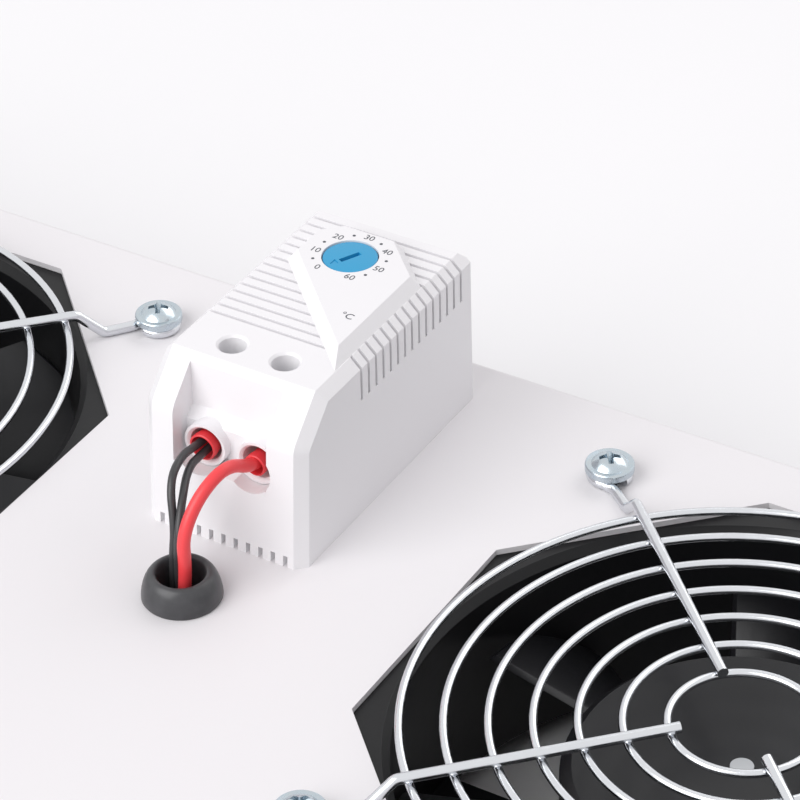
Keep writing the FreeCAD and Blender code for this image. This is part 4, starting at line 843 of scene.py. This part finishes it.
# Dust and bloom lie in patches about 2 mm across.
bloom = node(tree, "ShaderNodeTexNoise", {"Vector": at, "Scale": 1 / (2.0 * MM), "Detail": 5.0})
dusty = node(tree, "ShaderNodeMix", {"Factor": bloom.outputs["Fac"], "A": srgb("#303133"),
                                     "B": srgb("#4C4C4F")}, data_type="RGBA")
tree.links.new(dusty.outputs["Result"], shader.inputs["Base Color"])
low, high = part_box("cable_grommet")
centre = (low + high) / 2
radius = (high.x - low.x) / 2
tall = high.z - deck
mouth, bore, groove_radius, sheet = 4.3 * MM, 4.1 * MM, 5.2 * MM, 1.2 * MM
foot = low.z - deck
profile = [(bore, foot), (radius - 1.0 * MM, foot), (radius - 0.5 * MM, foot + 0.6 * MM),
           (radius - 0.6 * MM, -sheet), (groove_radius, -sheet), (groove_radius, 0),
           (radius - 0.2 * MM, 0), (radius, 0.3 * MM)]
# The dome is one Bezier line from the foot of the bush up to its lip.
dome = [(radius, 0.3 * MM), (radius, tall * 0.45), (mouth + 1.9 * MM, tall * 0.98),
        (mouth + 0.7 * MM, tall)]
dome_steps = 8
for index in range(1, dome_steps + 1):
    share = index / dome_steps
    pull = ((1 - share) ** 3, 3 * share * (1 - share) ** 2, 3 * share ** 2 * (1 - share),
            share ** 3)
    profile.append(tuple(sum(weight * point[k] for weight, point in zip(pull, dome))
                         for k in (0, 1)))
profile += [(mouth + 0.3 * MM, tall - 0.1 * MM), (mouth, tall - 0.5 * MM),
            (bore, tall - 2.0 * MM)]
bush = lathe("grommet", profile, steps=64, sharp=50)
bush.transform(Matrix.Translation((centre.x, centre.y, deck)))
piece("rubber_grommet", bush, rubber, replaces=("cable_grommet",))

# ---------------------------------------------------------------- terminal strip and inlet
# Under the deck a white polyamide screw strip joins the wires, and in the rear flange sits
# a black three-pin appliance inlet. Both are plain mouldings with slightly rounded edges.

polyamide, tree, shader = material("natural_white_polyamide", {
    "Base Color": srgb("#E4E2DA"), "Roughness": 0.45})
at = node(tree, "ShaderNodeTexCoord").outputs["Object"]
# The melt flows into milky and clearer streaks about 3 mm wide.
streaks = node(tree, "ShaderNodeTexNoise", {"Vector": at, "Scale": 1 / (3.0 * MM), "Detail": 3.0,
                                            "Distortion": 1.0})
milky = node(tree, "ShaderNodeMix", {"Factor": streaks.outputs["Fac"], "A": srgb("#E9E7E0"),
                                     "B": srgb("#DCD9CE")}, data_type="RGBA")
tree.links.new(milky.outputs["Result"], shader.inputs["Base Color"])

inlet_plastic, tree, shader = material("black_moulded_polyamide", {
    "Base Color": srgb("#232326"), "Roughness": 0.42})
at = node(tree, "ShaderNodeTexCoord").outputs["Object"]
# The mould's skin has a grain about 0.4 mm across.
skin = node(tree, "ShaderNodeTexNoise", {"Vector": at, "Scale": 1 / (0.4 * MM), "Detail": 2.0})
dent = node(tree, "ShaderNodeBump", {"Height": skin.outputs["Fac"], "Strength": 0.2,
                                     "Distance": 0.03 * MM})
tree.links.new(dent.outputs[0], shader.inputs["Normal"])
eased("terminal_strip", "screw_strip", 0.2, polyamide)
eased("mains_inlet", "appliance_inlet", 0.3, inlet_plastic)
